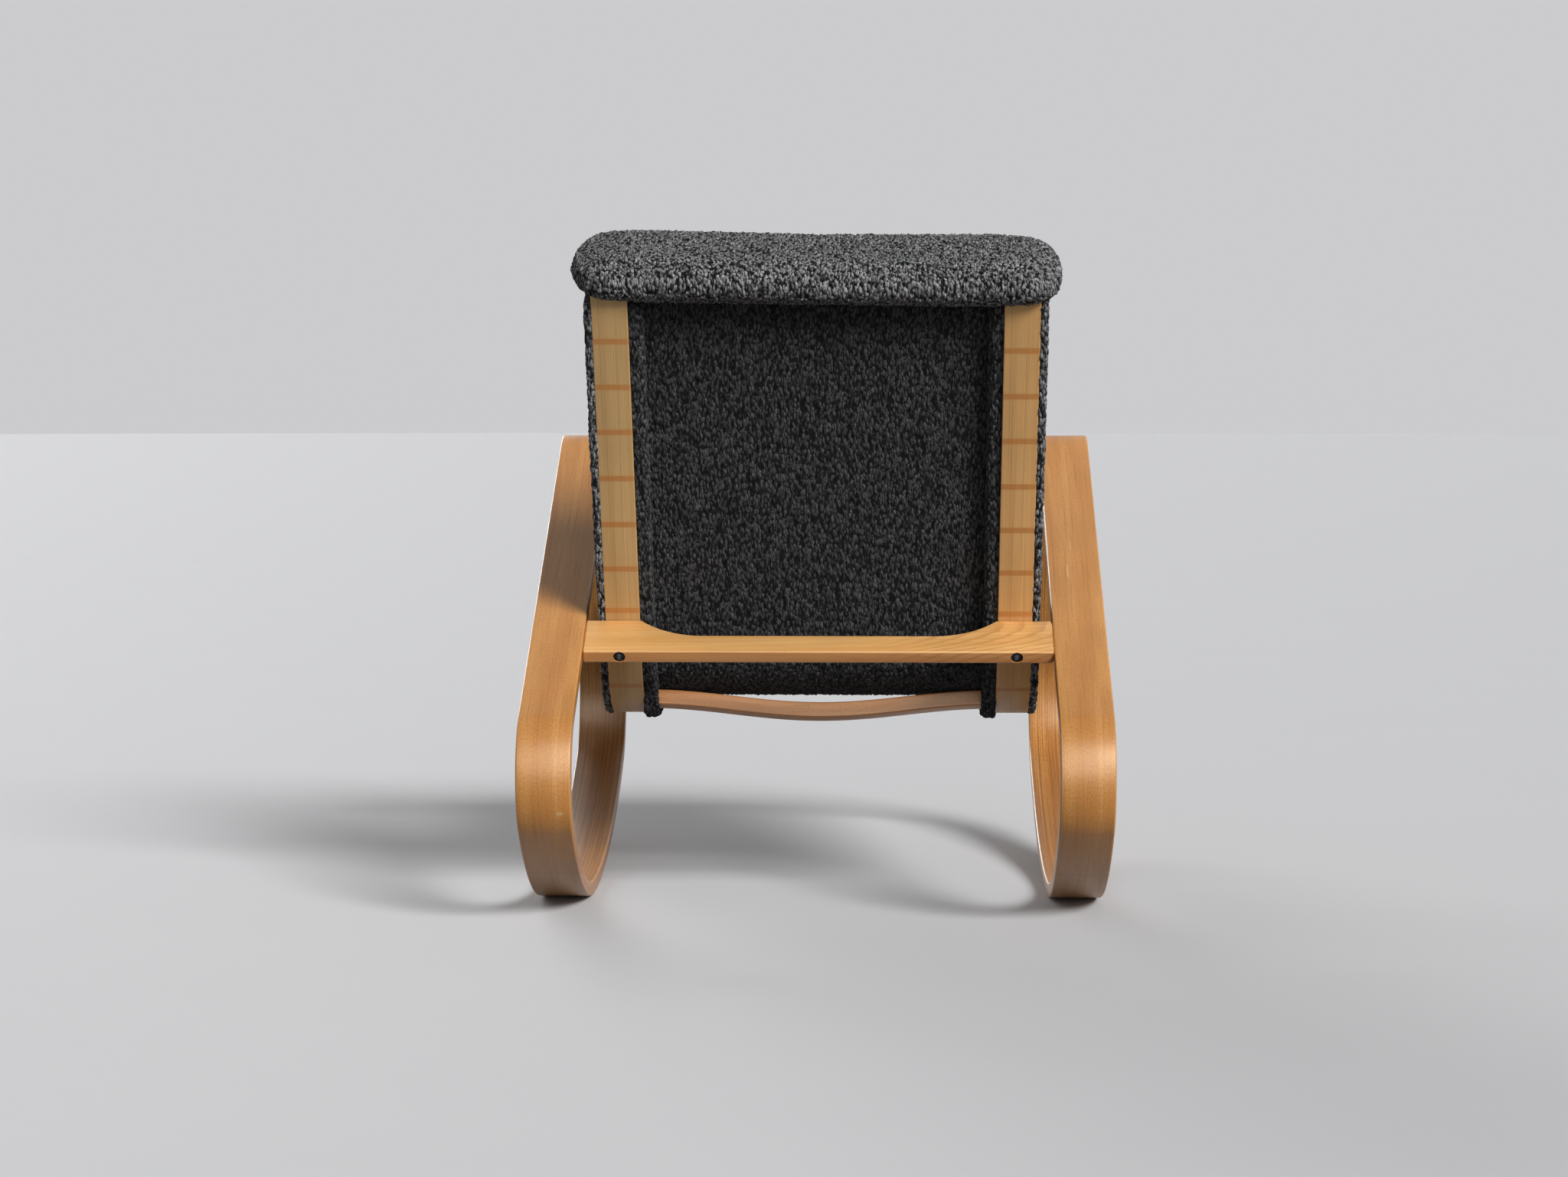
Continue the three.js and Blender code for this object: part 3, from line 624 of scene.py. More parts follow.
def dimmed(tone, share):
    return [share * v for v in tone]


def tones(colours, wood):
    """A wood's pale, middle and deep tone."""
    return [getattr(colours, f"{wood}_{tone}") for tone in ("pale", "mid", "deep")]


class Wood(Look):
    """Lacquered wood whose grain runs along the piece's length. Its tone is laid on in steps."""

    def __init__(self, name, tones, figure, streak, fleck, lines, fleck_range=(0.60, 0.70), lean=0.0):
        super().__init__(name)
        self.pale, mid, self.deep = tones
        self.fleck_range = fleck_range
        self.grain = leaning = self.attribute("grain", "Vector")
        self.along, self.across, self.through = self.add("SeparateXYZ", {0: self.grain}).outputs
        if lean:
            aslant = self.plus(self.across, self.times(self.along, lean))
            leaning = self.add("CombineXYZ", {0: self.along, 1: aslant, 2: self.through}).outputs[0]
        self.broad = self.noise(leaning, figure, 3.0, 0.5, 0.35)
        self.fine = self.noise(leaning, streak, 4.0, 0.65, 0.15)
        self.hair = self.noise(leaning, dimmed(streak, 3.1), 2.0, 0.5)
        self.pores = self.noise(self.grain, fleck, 2.0, 0.5)
        self.tone = self.mixed(self.ranged(self.broad, 0.34, 0.66), mid, self.pale)
        self.stain(self.ranged(self.fine, 0.50, 0.72, 0.0, lines), self.deep)

    def stain(self, amount, tone):
        self.tone = self.mixed(amount, self.tone, tone)

    def inner_lines(self, share, thickness):
        """Long growth lines on the inner face of a bent band."""
        face = self.ranged(self.through, thickness - 0.0012, thickness - 0.0006)
        growth = self.noise(self.grain, (1.3, 520.0, 0.0), 2.0, 0.5, 0.3)
        growth = self.ranged(growth, 0.44, 0.62, 0.0, share)
        self.stain(self.times(growth, face), dimmed(self.deep, 0.6))

    def arches(self, tip_side, bend, pitch, skew, clear, full):
        """Nested arches of growth lines whose tips point to the board's low end."""
        away = self.minus(self.across, tip_side)
        reach = self.minus(self.over(self.times(away, away), bend), self.along)
        reach = self.minus(reach, self.times(self.through, skew))
        reach = self.plus(reach, self.times(self.broad, 0.03))
        ring = self.math("FRACT", self.over(reach, pitch))
        line = self.times(self.ranged(ring, 0.45, 0.93), self.ranged(ring, 0.93, 1.0, 1.0, 0.0))
        self.stain(self.times(line, self.ranged(self.along, clear, full, 0.0, 0.50)), self.deep)

    def flecks(self, share):
        """The hair-fine grain, the dark flecks and the slow change of tone from place to place."""
        self.stain(self.ranged(self.hair, 0.52, 0.78, 0.0, 0.35), self.deep)
        self.stain(self.ranged(self.pores, *self.fleck_range, 0.0, share), self.deep)
        cloudy = self.ranged(self.noise(self.grain, (5.0, 9.0, 9.0), 2.0), 0.3, 0.7)
        cloud = self.mixed(cloudy, (0.90, 0.89, 0.87), (1.07, 1.06, 1.05))
        self.tone = self.mixed(1.0, self.tone, cloud, "MULTIPLY")

    def layers(self, layer, thickness):
        """Layers of their own shades with glue lines between, seen on the narrow sides."""
        rise = self.ranged(self.through, 0.0010, 0.0016)
        fall = self.ranged(self.through, thickness - 0.0016, thickness - 0.0010, 1.0, 0.0)
        inside = self.times(rise, fall)
        place = self.over(self.through, layer)
        glue = self.ranged(self.math("PINGPONG", place, 0.5), 0.03, 0.10, 0.75, 0.0)
        number = self.math("FLOOR", place)
        own = self.add("TexWhiteNoise", {"W": number}, noise_dimensions="1D").outputs["Value"]
        shade = self.ranged(own, 0.0, 1.0, 0.0, 0.42, "LINEAR")
        self.stain(self.times(shade, inside), self.deep)
        self.stain(self.times(glue, inside), dimmed(self.deep, 0.45))

    def narrow_face_tone_and_shade(self, tint):
        """A darker tint on the board's outer narrow face: partly the edge grain's own tone, partly painted
        shade.
        """
        tinted_and_shaded = self.mixed(1.0, self.tone, tint, "MULTIPLY")
        self.stain(self.ranged(self.across, 0.0004, 0.0016, 1.0, 0.0), tinted_and_shaded)

    def bands(self, tone):
        worn = self.ranged(self.fine, 0.2, 0.7, 0.62, 0.95)
        self.stain(self.times(self.attribute("band"), worn), tone)

    def joints(self, places):
        for place in places:
            away = self.math("ABSOLUTE", self.minus(self.along, place))
            self.stain(self.ranged(away, 0.0002, 0.0007, 0.8, 0.0), dimmed(self.deep, 0.3))

    def marks(self, marks):
        """Ragged oval spots, each with its place along and across, half sizes, strength and tone."""
        for place, side, long, wide, strong, tone in marks:
            u = self.over(self.minus(self.along, place), long)
            v = self.over(self.minus(self.across, side), wide)
            away = self.math("SQRT", self.plus(self.times(u, u), self.times(v, v)))
            ragged = self.plus(away, self.times(self.minus(self.pores, 0.5), 0.8))
            self.stain(self.ranged(ragged, 0.6, 1.0, strong, 0.0), tone)

    def lacquered(self):
        # Paler along the rounded edges: partly worn lacquer, partly a painted highlight where the edges
        # catch the light.
        worn = self.times(self.attribute("edge"), self.ranged(self.broad, 0.35, 0.65, 0.10, 0.40))
        self.stain(worn, [min(1.0, v) for v in dimmed(self.pale, 1.2)])
        dents = self.times(self.ranged(self.pores, *self.fleck_range), 0.6)
        return self.made(
            self.tone, self.ranged(self.fine, 0.3, 0.75, 0.34, 0.46),
            self.minus(self.times(self.fine, 0.7), dents), 0.22, 0.0003,
            Specular_IOR_Level=0.55, Specular_Tint=(1.0, 0.77, 0.50), Coat_Weight=0.32, Coat_Roughness=0.36,
        )


def plain_wood(name, mid, deep, axis_scale):
    """Wood for a hidden CAD piece, whose grain follows the chair's own axes."""
    look = Look(name)
    fine = look.noise(look.object_place(), axis_scale, 4.0, 0.6, 0.2)
    tone = look.mixed(look.ranged(fine, 0.35, 0.7), mid, deep)
    return look.made(tone, look.ranged(fine, 0.3, 0.7, 0.5, 0.65), fine, 0.2, 0.0003)


def boucle(name, light, grey, ground, tuft_width, tuft_length):
    """Looped yarn cloth. The mesh has its own raised tufts, and the shader adds the yarn on them."""
    look = Look(name)
    place = look.attribute("cloth", "Vector")
    cells = look.vector("MULTIPLY", place, (1 / tuft_width, 1 / tuft_length, 1 / tuft_width))
    curl = look.add("TexNoise", {"Vector": cells, "Scale": 0.8, "Detail": 2.0}).outputs["Color"]
    curl = look.vector("MULTIPLY", look.vector("SUBTRACT", curl, (0.5, 0.5, 0.5)), (1.5, 1.0, 1.5))
    curled = {"Vector": look.vector("ADD", cells, curl), "Scale": 1.0, "Randomness": 1.0}
    loops = look.add("TexVoronoi", curled, feature="F1").outputs
    crest = look.ranged(loops["Distance"], 0.16, 0.74, 1.0, 0.0)
    strands = look.noise(place, (1300.0, 420.0, 1300.0), 3.0, 0.65, 0.8)
    heather = look.noise(place, (60.0, 34.0, 60.0), 2.0)
    shade = look.plus(look.times(loops["Color"], 0.50), look.times(strands, 0.50))
    shade = look.plus(shade, look.times(look.minus(heather, 0.5), 0.25))
    height = look.plus(look.times(crest, 0.75), look.times(look.attribute("pile"), 0.35))
    height = look.plus(height, look.times(look.minus(strands, 0.5), 0.45))
    yarn = look.mixed(look.ranged(shade, 0.25, 0.80), grey, light)
    # Low places take the gap tone: the cloth's dark ground with painted shade between the tufts.
    tone = look.mixed(look.ranged(height, 0.20, 0.68), ground, yarn)
    return look.made(
        tone, 0.95, height, 1.0, 0.0022, Specular_IOR_Level=0.10, Sheen_Weight=0.04, Sheen_Roughness=0.5
    )


def webbing_cloth(name):
    look = Look(name)
    place = look.object_place()
    waves = {"Vector": place, "Scale": 260.0, "Distortion": 0.4}
    ribs = look.add("TexWave", waves, bands_direction="X").outputs["Fac"]
    yarn = look.noise(place, 900.0, 2.0)
    tone = look.mixed(look.ranged(ribs, 0.2, 0.8), (0.008, 0.008, 0.009), (0.045, 0.043, 0.045))
    tone = look.mixed(look.ranged(yarn, 0.45, 0.7, 0.0, 0.5), tone, (0.09, 0.085, 0.085))
    return look.made(tone, look.ranged(yarn, 0.3, 0.7, 0.75, 0.95), ribs, 0.6, 0.0006)


def steel(name, low, high, rough_low, rough_high, socket=None):
    """Worn steel between two tones, with a paler tone on the floor of a bolt's socket that paints a
    highlight there.
    """
    look = Look(name)
    worn = look.noise(look.object_place(), 420.0, 4.0, 0.6)
    tone = look.mixed(look.ranged(worn, 0.4, 0.7), low, high)
    if socket is not None:
        # The socket's paler floor is a painted highlight.
        tone = look.mixed(look.attribute("socket"), tone, socket)
    rough = look.ranged(worn, 0.3, 0.7, rough_low, rough_high)
    return look.made(tone, rough, worn, 0.15, 0.0002, Metallic=0.9)


def boucle_or_shaded_copy(scene, name, share):
    """The boucle, or a darker copy of it that paints shade on a piece, made once for each name."""
    found = bpy.data.materials.get(name)
    colours, sizes = scene.rocking_colours, scene.rocking_cloth
    light, grey = dimmed(colours.tuft_light, share), dimmed(colours.tuft_grey, share)
    return found or boucle(name, light, grey, colours.tuft_gap_and_shade, sizes.tuft_width, sizes.tuft_length)


def dress(piece, material):
    piece.data.materials.clear()
    piece.data.materials.append(material)


def finish_piece(piece, material, node):
    dress(piece, material)
    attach(piece, "root")
    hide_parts(node)


# Boucle cloth


def hashed(cells, salt):
    """Three even numbers from 0 to 1 for each whole-number cell."""
    value = (cells[:, 0] * 73856093) ^ (cells[:, 1] * 19349663) ^ (cells[:, 2] * 83492791) ^ salt
    numbers = []
    for turn in (2654435761, 2246822519, 3266489917):
        bits = (value * turn) & 0xFFFFFFFF
        bits ^= bits >> 15
        bits = (bits * 2246822507) & 0xFFFFFFFF
        bits ^= bits >> 13
        numbers.append(bits / 4294967295.0)
    return np.stack(numbers, 1)


def nearest_tuft(places, cell, salt):
    """Distance to the nearest tuft in cells, and that tuft's own number."""
    scaled = places / cell
    base = np.floor(scaled).astype(np.int64)
    nearest = np.full(len(places), 9.0)
    own = np.zeros(len(places))
    for step in np.ndindex(3, 3, 3):
        corner = base + step - 1
        numbers = hashed(corner, salt)
        away = ((corner + numbers - scaled) ** 2).sum(1)
        closer = away < nearest
        nearest[closer] = away[closer]
        own[closer] = (numbers[closer, 0] * 7.31 + numbers[closer, 1] * 3.77) % 1.0
    return np.sqrt(nearest), own


def add_tufts(piece, sizes, height, salt):
    """Raises the boucle's tufts, large and small ones, from the piece's surface."""
    mesh = piece.data
    places = threes(mesh.attributes["cloth"].data, "vector")
    x, y, z = places.T
    across = np.sin(y * 61 + x * 23) + np.sin(x * 97 + z * 51)
    warped = places + 0.0016 * np.stack([across, np.sin(x * 71 + y * 19), np.sin(y * 83 + x * 29)], 1)
    cell = np.array([sizes.tuft_width, sizes.tuft_length, sizes.tuft_width]) * 1.3
    away, own = nearest_tuft(warped, cell, salt)
    small_away, _ = nearest_tuft(warped + 3.3, cell * 0.55, salt + 7)
    big, small = (np.clip(1 - (reach / 0.85) ** 2, 0, 1) for reach in (away, small_away))
    pile = np.clip(0.72 * big + 0.38 * small, 0, 1)
    rise = (pile * (0.7 + 0.6 * own) - 0.45) * height
    normals = threes(mesh.vertex_normals, "vector")
    move_points(mesh, mesh_points(mesh) + normals * rise[:, None])
    set_attribute(piece, "pile", pile)


def finer(grid):
    """Twice as many rows and columns of points, smoothly between. The columns run in a ring."""
    before, after, beyond = (np.roll(grid, step, 1) for step in (1, -1, -2))
    middle = (9 * (grid + after) - before - beyond) / 16
    grid = np.stack([grid, middle], 2).reshape(grid.shape[0], -1, grid.shape[2])
    padded = np.concatenate([2 * grid[:1] - grid[1:2], grid, 2 * grid[-1:] - grid[-2:-1]])
    middle = (9 * (padded[1:-2] + padded[2:-1]) - padded[:-3] - padded[3:]) / 16
    full = np.empty((2 * len(grid) - 1, *grid.shape[1:]))
    full[::2], full[1::2] = grid, middle
    return full


def plump(piece, pressure, cap, held, frames):
    """Fills the piece with air like a cushion. Points in held stay, and no point moves more than cap."""
    scene = bpy.context.scene
    start = mesh_points(piece.data)
    modifier = piece.modifiers.new("Plump", "CLOTH")
    for key, value in CLOTH_SETTINGS.items():
        setattr(modifier.settings, key, value)
    modifier.settings.uniform_pressure_force = pressure
    modifier.settings.effector_weights.gravity = 0
    if held.any():
        group = piece.vertex_groups.new(name="held")
        group.add(np.flatnonzero(held).tolist(), 1.0, "REPLACE")
        modifier.settings.vertex_group_mass = "held"
    modifier.collision_settings.use_collision = False
    modifier.point_cache.frame_start = 1
    modifier.point_cache.frame_end = frames
    for number in range(1, frames + 1):
        scene.frame_set(number)
    evaluated = piece.evaluated_get(bpy.context.evaluated_depsgraph_get())
    moved = mesh_points(evaluated.data) - start
    piece.modifiers.clear()
    scene.frame_set(1)
    far = np.linalg.norm(moved, axis=1)
    if not np.isfinite(far).all():
        raise RuntimeError(f"{piece.name}: the cloth simulation broke up")
    return start + moved * (cap / np.maximum(far, cap))[:, None]


def even_ring(points, count, weights=1.0):
    """Points spaced evenly round a closed line, closer where the weights are larger."""
    looped = np.concatenate([points, points[:1]])
    steps = np.linalg.norm(np.diff(looped, axis=0), axis=1) * weights
    distance = np.concatenate([[0.0], np.cumsum(steps)])
    wanted = np.linspace(0, distance[-1], count, endpoint=False)
    return np.stack([np.interp(wanted, distance, looped[:, i]) for i in range(2)], 1)


def cloth_rings(name, points, places):
    """A closed cloth form from rings of points. The places are the same points as they lie in the cloth."""
    faces, _, _ = ring_faces(*places.shape[:2])
    piece = new_piece(name, points.reshape(-1, 3), faces, smooth_angle=0)
    set_attribute(piece, "cloth", places)
    make_outward(piece)
    return piece


def plumped_rings(name, points, places, held, pressure, cap, frames, times):
    """Plumps a coarse form and gives it back with finer rings."""
    coarse = cloth_rings("coarse_form", points, places)
    points = plump(coarse, pressure, cap, held.ravel(), frames).reshape(points.shape)
    remove_piece(coarse)
    both = np.concatenate([points, places], 2)
    for _ in range(times):
        both = finer(both)
    return cloth_rings(name, both[..., :3], both[..., 3:])


def finish_cloth(scene, piece, rise, salt, yarn, share):
    """Adds the tufts and the cloth's material. Rise is the share of the full tuft height. A share below one
    dims the yarn with painted shade, and on the panel and seat strips also with the lining's darker tone.
    """
    sizes = scene.rocking_cloth
    add_tufts(piece, sizes, sizes.tuft_height * rise, salt)
    finish_piece(piece, boucle_or_shaded_copy(scene, yarn, share), piece.name.removesuffix("_cloth"))


class ROCKING_OT_side_loops(bpy.types.Operator):
    """Build the two bent side loops"""

    bl_idname = "rocking.side_loops"
    bl_label = "Side Loops"

    def execute(self, context):
        sizes, colours = context.scene.rocking_wood, context.scene.rocking_colours
        places, outward, distances = loop_line(LOOP_STEP)
        section, edge = rounded_section(sizes.band_width, sizes.band_thickness, sizes.edge_round)
        flat = places[:, None] - outward[:, None] * section[None, :, 1:]
        for side, sign in SIDES:
            rings = with_x(side_start(sign, sizes.loop_inner, sizes.band_width) + section[:, 0], flat)
            loop = sweep(f"side_loop_{side}_wood", rings, distances, section, edge, closed=True)
            look = Wood(
                f"honey_beech_{side}", tones(colours, "loop"), figure=(2.4, 42.0, 42.0), lines=0.45,
                streak=(7.0, 330.0, 330.0), fleck=(330.0, 1300.0, 1300.0), fleck_range=(0.47, 0.68),
            )
            look.inner_lines(0.6, sizes.band_thickness)
            look.flecks(0.62)
            look.layers(sizes.lamella, sizes.band_thickness)
            look.joints(LOOP_JOINTS)
            look.marks(LOOP_MARKS[side])
            finish_piece(loop, look.lacquered(), f"side_loop_{side}")
        return {"FINISHED"}


class ROCKING_OT_cross_bars(bpy.types.Operator):
    """Build the scooped cross bars between the loops"""

    bl_idname = "rocking.cross_bars"
    bl_label = "Cross Bars"

    def execute(self, context):
        sizes, colours = context.scene.rocking_wood, context.scene.rocking_colours
        look = Wood(
            "pale_ash", tones(colours, "ash"), figure=(2.0, 60.0, 60.0), streak=(2.6, 300.0, 300.0),
            fleck=(90.0, 1500.0, 1500.0), lines=0.45, lean=0.03,
        )
        look.arches(tip_side=0.060, bend=0.032, pitch=0.026, skew=-3.0, clear=-0.05, full=-0.15)
        look.flecks(0.35)
        # The narrow face's darker tint is partly painted shade.
        look.narrow_face_tone_and_shade((0.74, 0.62, 0.60))
        material = look.lacquered()
        stations, sections, edge = self.outline(sizes)
        depth = sections[..., 0] - sizes.bar_depth
        for bar, start in BARS:
            rings = seat_points(stations[:, None], start + sections[..., 1], depth)
            distances = stations + (FRONT_BAR_GRAIN if bar == "front" else 0.0)
            board = sweep(f"{bar}_cross_bar_wood", rings, distances, sections, edge)
            self.bore(board, start, sizes)
            finish_piece(board, material, f"{bar}_cross_bar")
        return {"FINISHED"}

    def outline(self, sizes):
        """Stations across the chair and the board's section at each, lower in the scoop."""
        half, scoop, ease = sizes.loop_inner - JOINT_GAP, sizes.rail_inner - SCOOP_MARGIN, sizes.edge_round
        run = math.sqrt(2 * SCOOP_RADIUS * sizes.scoop_depth - sizes.scoop_depth**2)
        stops = (-half, -scoop, -scoop + run, scoop - run, scoop, half)
        spans = zip(stops, stops[1:], (12, 30, 50, 30, 12))
        stations = np.concatenate([[-half]] + [np.linspace(*span)[1:] for span in spans])
        x = np.abs(stations)
        beside = run * (1 - np.clip((scoop - x) / run, 0, 1))
        hollow = sizes.scoop_depth - SCOOP_RADIUS + np.sqrt(SCOOP_RADIUS**2 - beside**2)
        height = sizes.bar_depth - JOINT_GAP - np.where(x < scoop, hollow, 0.0)
        sections = [rounded_section(tall, sizes.bar_thickness, ease)[0] for tall in height[1:-1]]
        end, edge = rounded_section(height[0] - 2 * ease, sizes.bar_thickness - 2 * ease, ease)
        sections = np.stack([end + ease, sections[0], *sections, sections[-1], end + ease])
        return np.concatenate([[-half, ease - half], stations[1:-1], [half - ease, half]]), sections, edge

    def bore(self, board, start, sizes):
        """Cuts the round recesses of the two bolt heads."""
        shape = bmesh.new()
        radii = {"radius1": RECESS_RADIUS, "radius2": RECESS_RADIUS}
        bmesh.ops.create_cone(shape, cap_ends=True, segments=48, depth=2 * RECESS_DEPTH, **radii)
        drills = []
        for _, sign in SIDES:
            drill = add_object("drill", bpy.data.meshes.new("drill"))
            shape.to_mesh(drill.data)
            x = sign * (sizes.rail_inner + sizes.rail_width / 2)
            middle = start + sizes.bar_thickness / 2
            drill.location = seat_points(x, middle, -sizes.bar_depth).ravel()
            direction = Vector((0.0, *seat_line(middle)[2][0]))
            drill.rotation_euler = direction.to_track_quat("Z", "Y").to_euler()
            modifier = board.modifiers.new("Recess", "BOOLEAN")
            modifier.object = drill
            modifier.solver = "EXACT"
            drills.append(drill)
        shape.free()
        bpy.context.view_layer.update()
        graph = bpy.context.evaluated_depsgraph_get()
        bored = bpy.data.meshes.new_from_object(
            board.evaluated_get(graph), preserve_all_data_layers=True, depsgraph=graph
        )
        whole, board.data = board.data, bored
        board.modifiers.clear()
        bpy.data.meshes.remove(whole)
        bored.name = board.name
        bored.set_sharp_from_angle(angle=40 * DEGREE)
        for drill in drills:
            remove_piece(drill)


class ROCKING_OT_bolts(bpy.types.Operator):
    """Build the socket-head bolts in the cross bars"""

    bl_idname = "rocking.bolts"
    bl_label = "Bolts"

    def execute(self, context):
        sizes = context.scene.rocking_wood
        # The last tone is the painted highlight on the socket's floor.
        material = steel(
            "oiled_steel", (0.010, 0.010, 0.011), (0.035, 0.034, 0.033), 0.32, 0.5, (0.16, 0.165, 0.17)
        )
        x, y, z = self.bolt()
        faces, _, _ = ring_faces(*x.shape)
        # The first ring, the socket's floor, carries the painted highlight.
        socket = np.zeros(x.shape)
        socket[0] = 1.0
        for bar, start in BARS:
            for side, sign in SIDES:
                middle = sign * (sizes.rail_inner + sizes.rail_width / 2)
                points = points_beside(
                    start + sizes.bar_thickness / 2, middle + x, y, z - (sizes.bar_depth - HEAD_SUNK)
                )
                bolt = new_piece(f"rail_bolt_{bar}_{side}_screw", points.reshape(-1, 3), faces, 35.0)
                make_outward(bolt)
                set_attribute(bolt, "socket", socket)
                finish_piece(bolt, material, f"rail_bolt_{bar}_{side}")
        return {"FINISHED"}

    def bolt(self):
        """A bolt's rings, from the socket's floor to the thread's end, as x, y and depth in the wood."""
        number = np.arange(BOLT_SIDES)
        turns = number * 2 * math.pi / BOLT_SIDES
        hexagon = SOCKET_REACH * math.cos(math.pi / 6) / np.cos((turns % (math.pi / 3)) - math.pi / 6)
        knurl = KNURL_RADIUS * (1 + 0.012 * (number % 2))
        rings = [(hexagon, SOCKET_DEPTH), (hexagon, 0.0004), (hexagon + 0.0004, 0.0), *HEAD_TOP]
        rings += [(knurl, 0.0014), (knurl, 0.0074), *HEAD_FOOT]
        for i in range(THREAD_RINGS):
            depth = SHANK_START + i * THREAD_STEP
            thread = 0.0037 + 0.0003 * (i % 2)
            rings.append((thread if depth > THREAD_START else SHANK_RADIUS, depth))
        radii = np.stack([np.broadcast_to(radius, BOLT_SIDES) for radius, _ in rings])
        depths = np.array([depth for _, depth in rings])
        return radii * np.cos(turns), radii * np.sin(turns), np.broadcast_to(depths[:, None], radii.shape)


class ROCKING_OT_seat_rails(bpy.types.Operator):
    """Build the two bent seat rails with their tan bands"""

    bl_idname = "rocking.seat_rails"
    bl_label = "Seat Rails"

    def execute(self, context):
        sizes, colours = context.scene.rocking_wood, context.scene.rocking_colours
        section, edge = rounded_section(sizes.rail_width, sizes.rail_thickness, RAIL_ROUND)
        for side, sign in SIDES:
            bands = np.array(RAIL_BANDS[side])
            edges = (bands[:, None] + np.array(BAND_EDGES)).ravel()
            stations = np.concatenate([np.arange(0.0, RAIL_END, RAIL_STEP), edges, [RAIL_END]])
            stations, sections = round_ends(np.unique(np.round(stations, 5)), section, RAIL_END_EASE)
            x = side_start(sign, sizes.rail_inner, sizes.rail_width) + sections[..., 0]
            rings = seat_points(x, stations[:, None], sections[..., 1])
            rail = sweep(f"seat_rail_{side}_wood", rings, stations, sections, edge)
            near = np.abs(stations[:, None] - bands[None]).min(1)[:, None]
            banded = np.clip((BAND_REACH - near) / BAND_FADE, 0, 1) * (sections[..., 1] < BAND_DEPTH)
            set_attribute(rail, "band", banded)
            pale, mid, deep = tones(colours, "rail")
            # The right rail's brighter tint is partly painted light.
            pale, mid = ([v * w for v, w in zip(tone, RAIL_WARMTH_AND_LIGHT[side])] for tone in (pale, mid))
            look = Wood(
                f"rail_wood_{side}", (pale, mid, deep), figure=(1.2, 70.0, 70.0),
                streak=(1.6, 520.0, 520.0), fleck=(60.0, 1700.0, 1700.0), lines=0.62,
            )
            look.flecks(0.30)
            look.layers(RAIL_LAYER, sizes.rail_thickness)
            look.bands(colours.rail_band)
            finish_piece(rail, look.lacquered(), f"seat_rail_{side}")
        return {"FINISHED"}


class ROCKING_OT_bowed_bar(bpy.types.Operator):
    """Build the bowed bar under the seat's bend"""

    bl_idname = "rocking.bowed_bar"
    bl_label = "Bowed Bar"

    def execute(self, context):
        sizes, colours = context.scene.rocking_wood, context.scene.rocking_colours
        section, edge = rounded_section(BOWED_WIDTH, BOWED_THICKNESS, 0.0022)
        half = sizes.rail_inner - JOINT_GAP
        stations, sections = round_ends(np.linspace(-half, half, 110), section, 0.0010)
        bow = BOW * (1 + np.cos(math.pi * stations / half)) / 2
        across = sections[..., 0] - BOWED_WIDTH / 2
        depth = sections[..., 1] + BOWED_DEPTH - bow[:, None]
        rings = points_beside(BOWED_BAR, stations[:, None], across, depth)
        bar = sweep("bowed_bar_wood", rings, stations + BOWED_BAR_GRAIN, sections, edge)
        look = Wood(
            "pink_beech", tones(colours, "bowed"), figure=(5.0, 60.0, 60.0), streak=(9.0, 300.0, 300.0),
 fleck=(260.0, 900.0, 900.0), lines=0.16,
        )
        look.flecks(0.75)
        finish_piece(bar, look.lacquered(), "bowed_bar")
        return {"FINISHED"}


class ROCKING_OT_hidden_parts(bpy.types.Operator):
    """Give the CAD's hidden dowels, inserts, straps and top bar their materials"""

    bl_idname = "rocking.hidden_parts"
    bl_label = "Hidden Parts"

    def execute(self, context):
        colours = context.scene.rocking_colours
        looks = {
            "dowel": plain_wood("dowel_wood", (0.62, 0.46, 0.25), (0.42, 0.27, 0.12), (9.0, 420.0, 420.0)),
            "top_bar": plain_wood("top_bar_wood", colours.rail_mid, colours.rail_deep, (5.0, 260.0, 260.0)),
            "rail_insert": steel("zinc_steel", (0.50, 0.51, 0.52), (0.66, 0.67, 0.69), 0.30, 0.48),
            "webbing_strap": webbing_cloth("webbing"),
        }
        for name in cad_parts:
            fitting = [look for part, look in looks.items() if part in name]
            if fitting:
                dress(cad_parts[name], fitting[0])
        return {"FINISHED"}


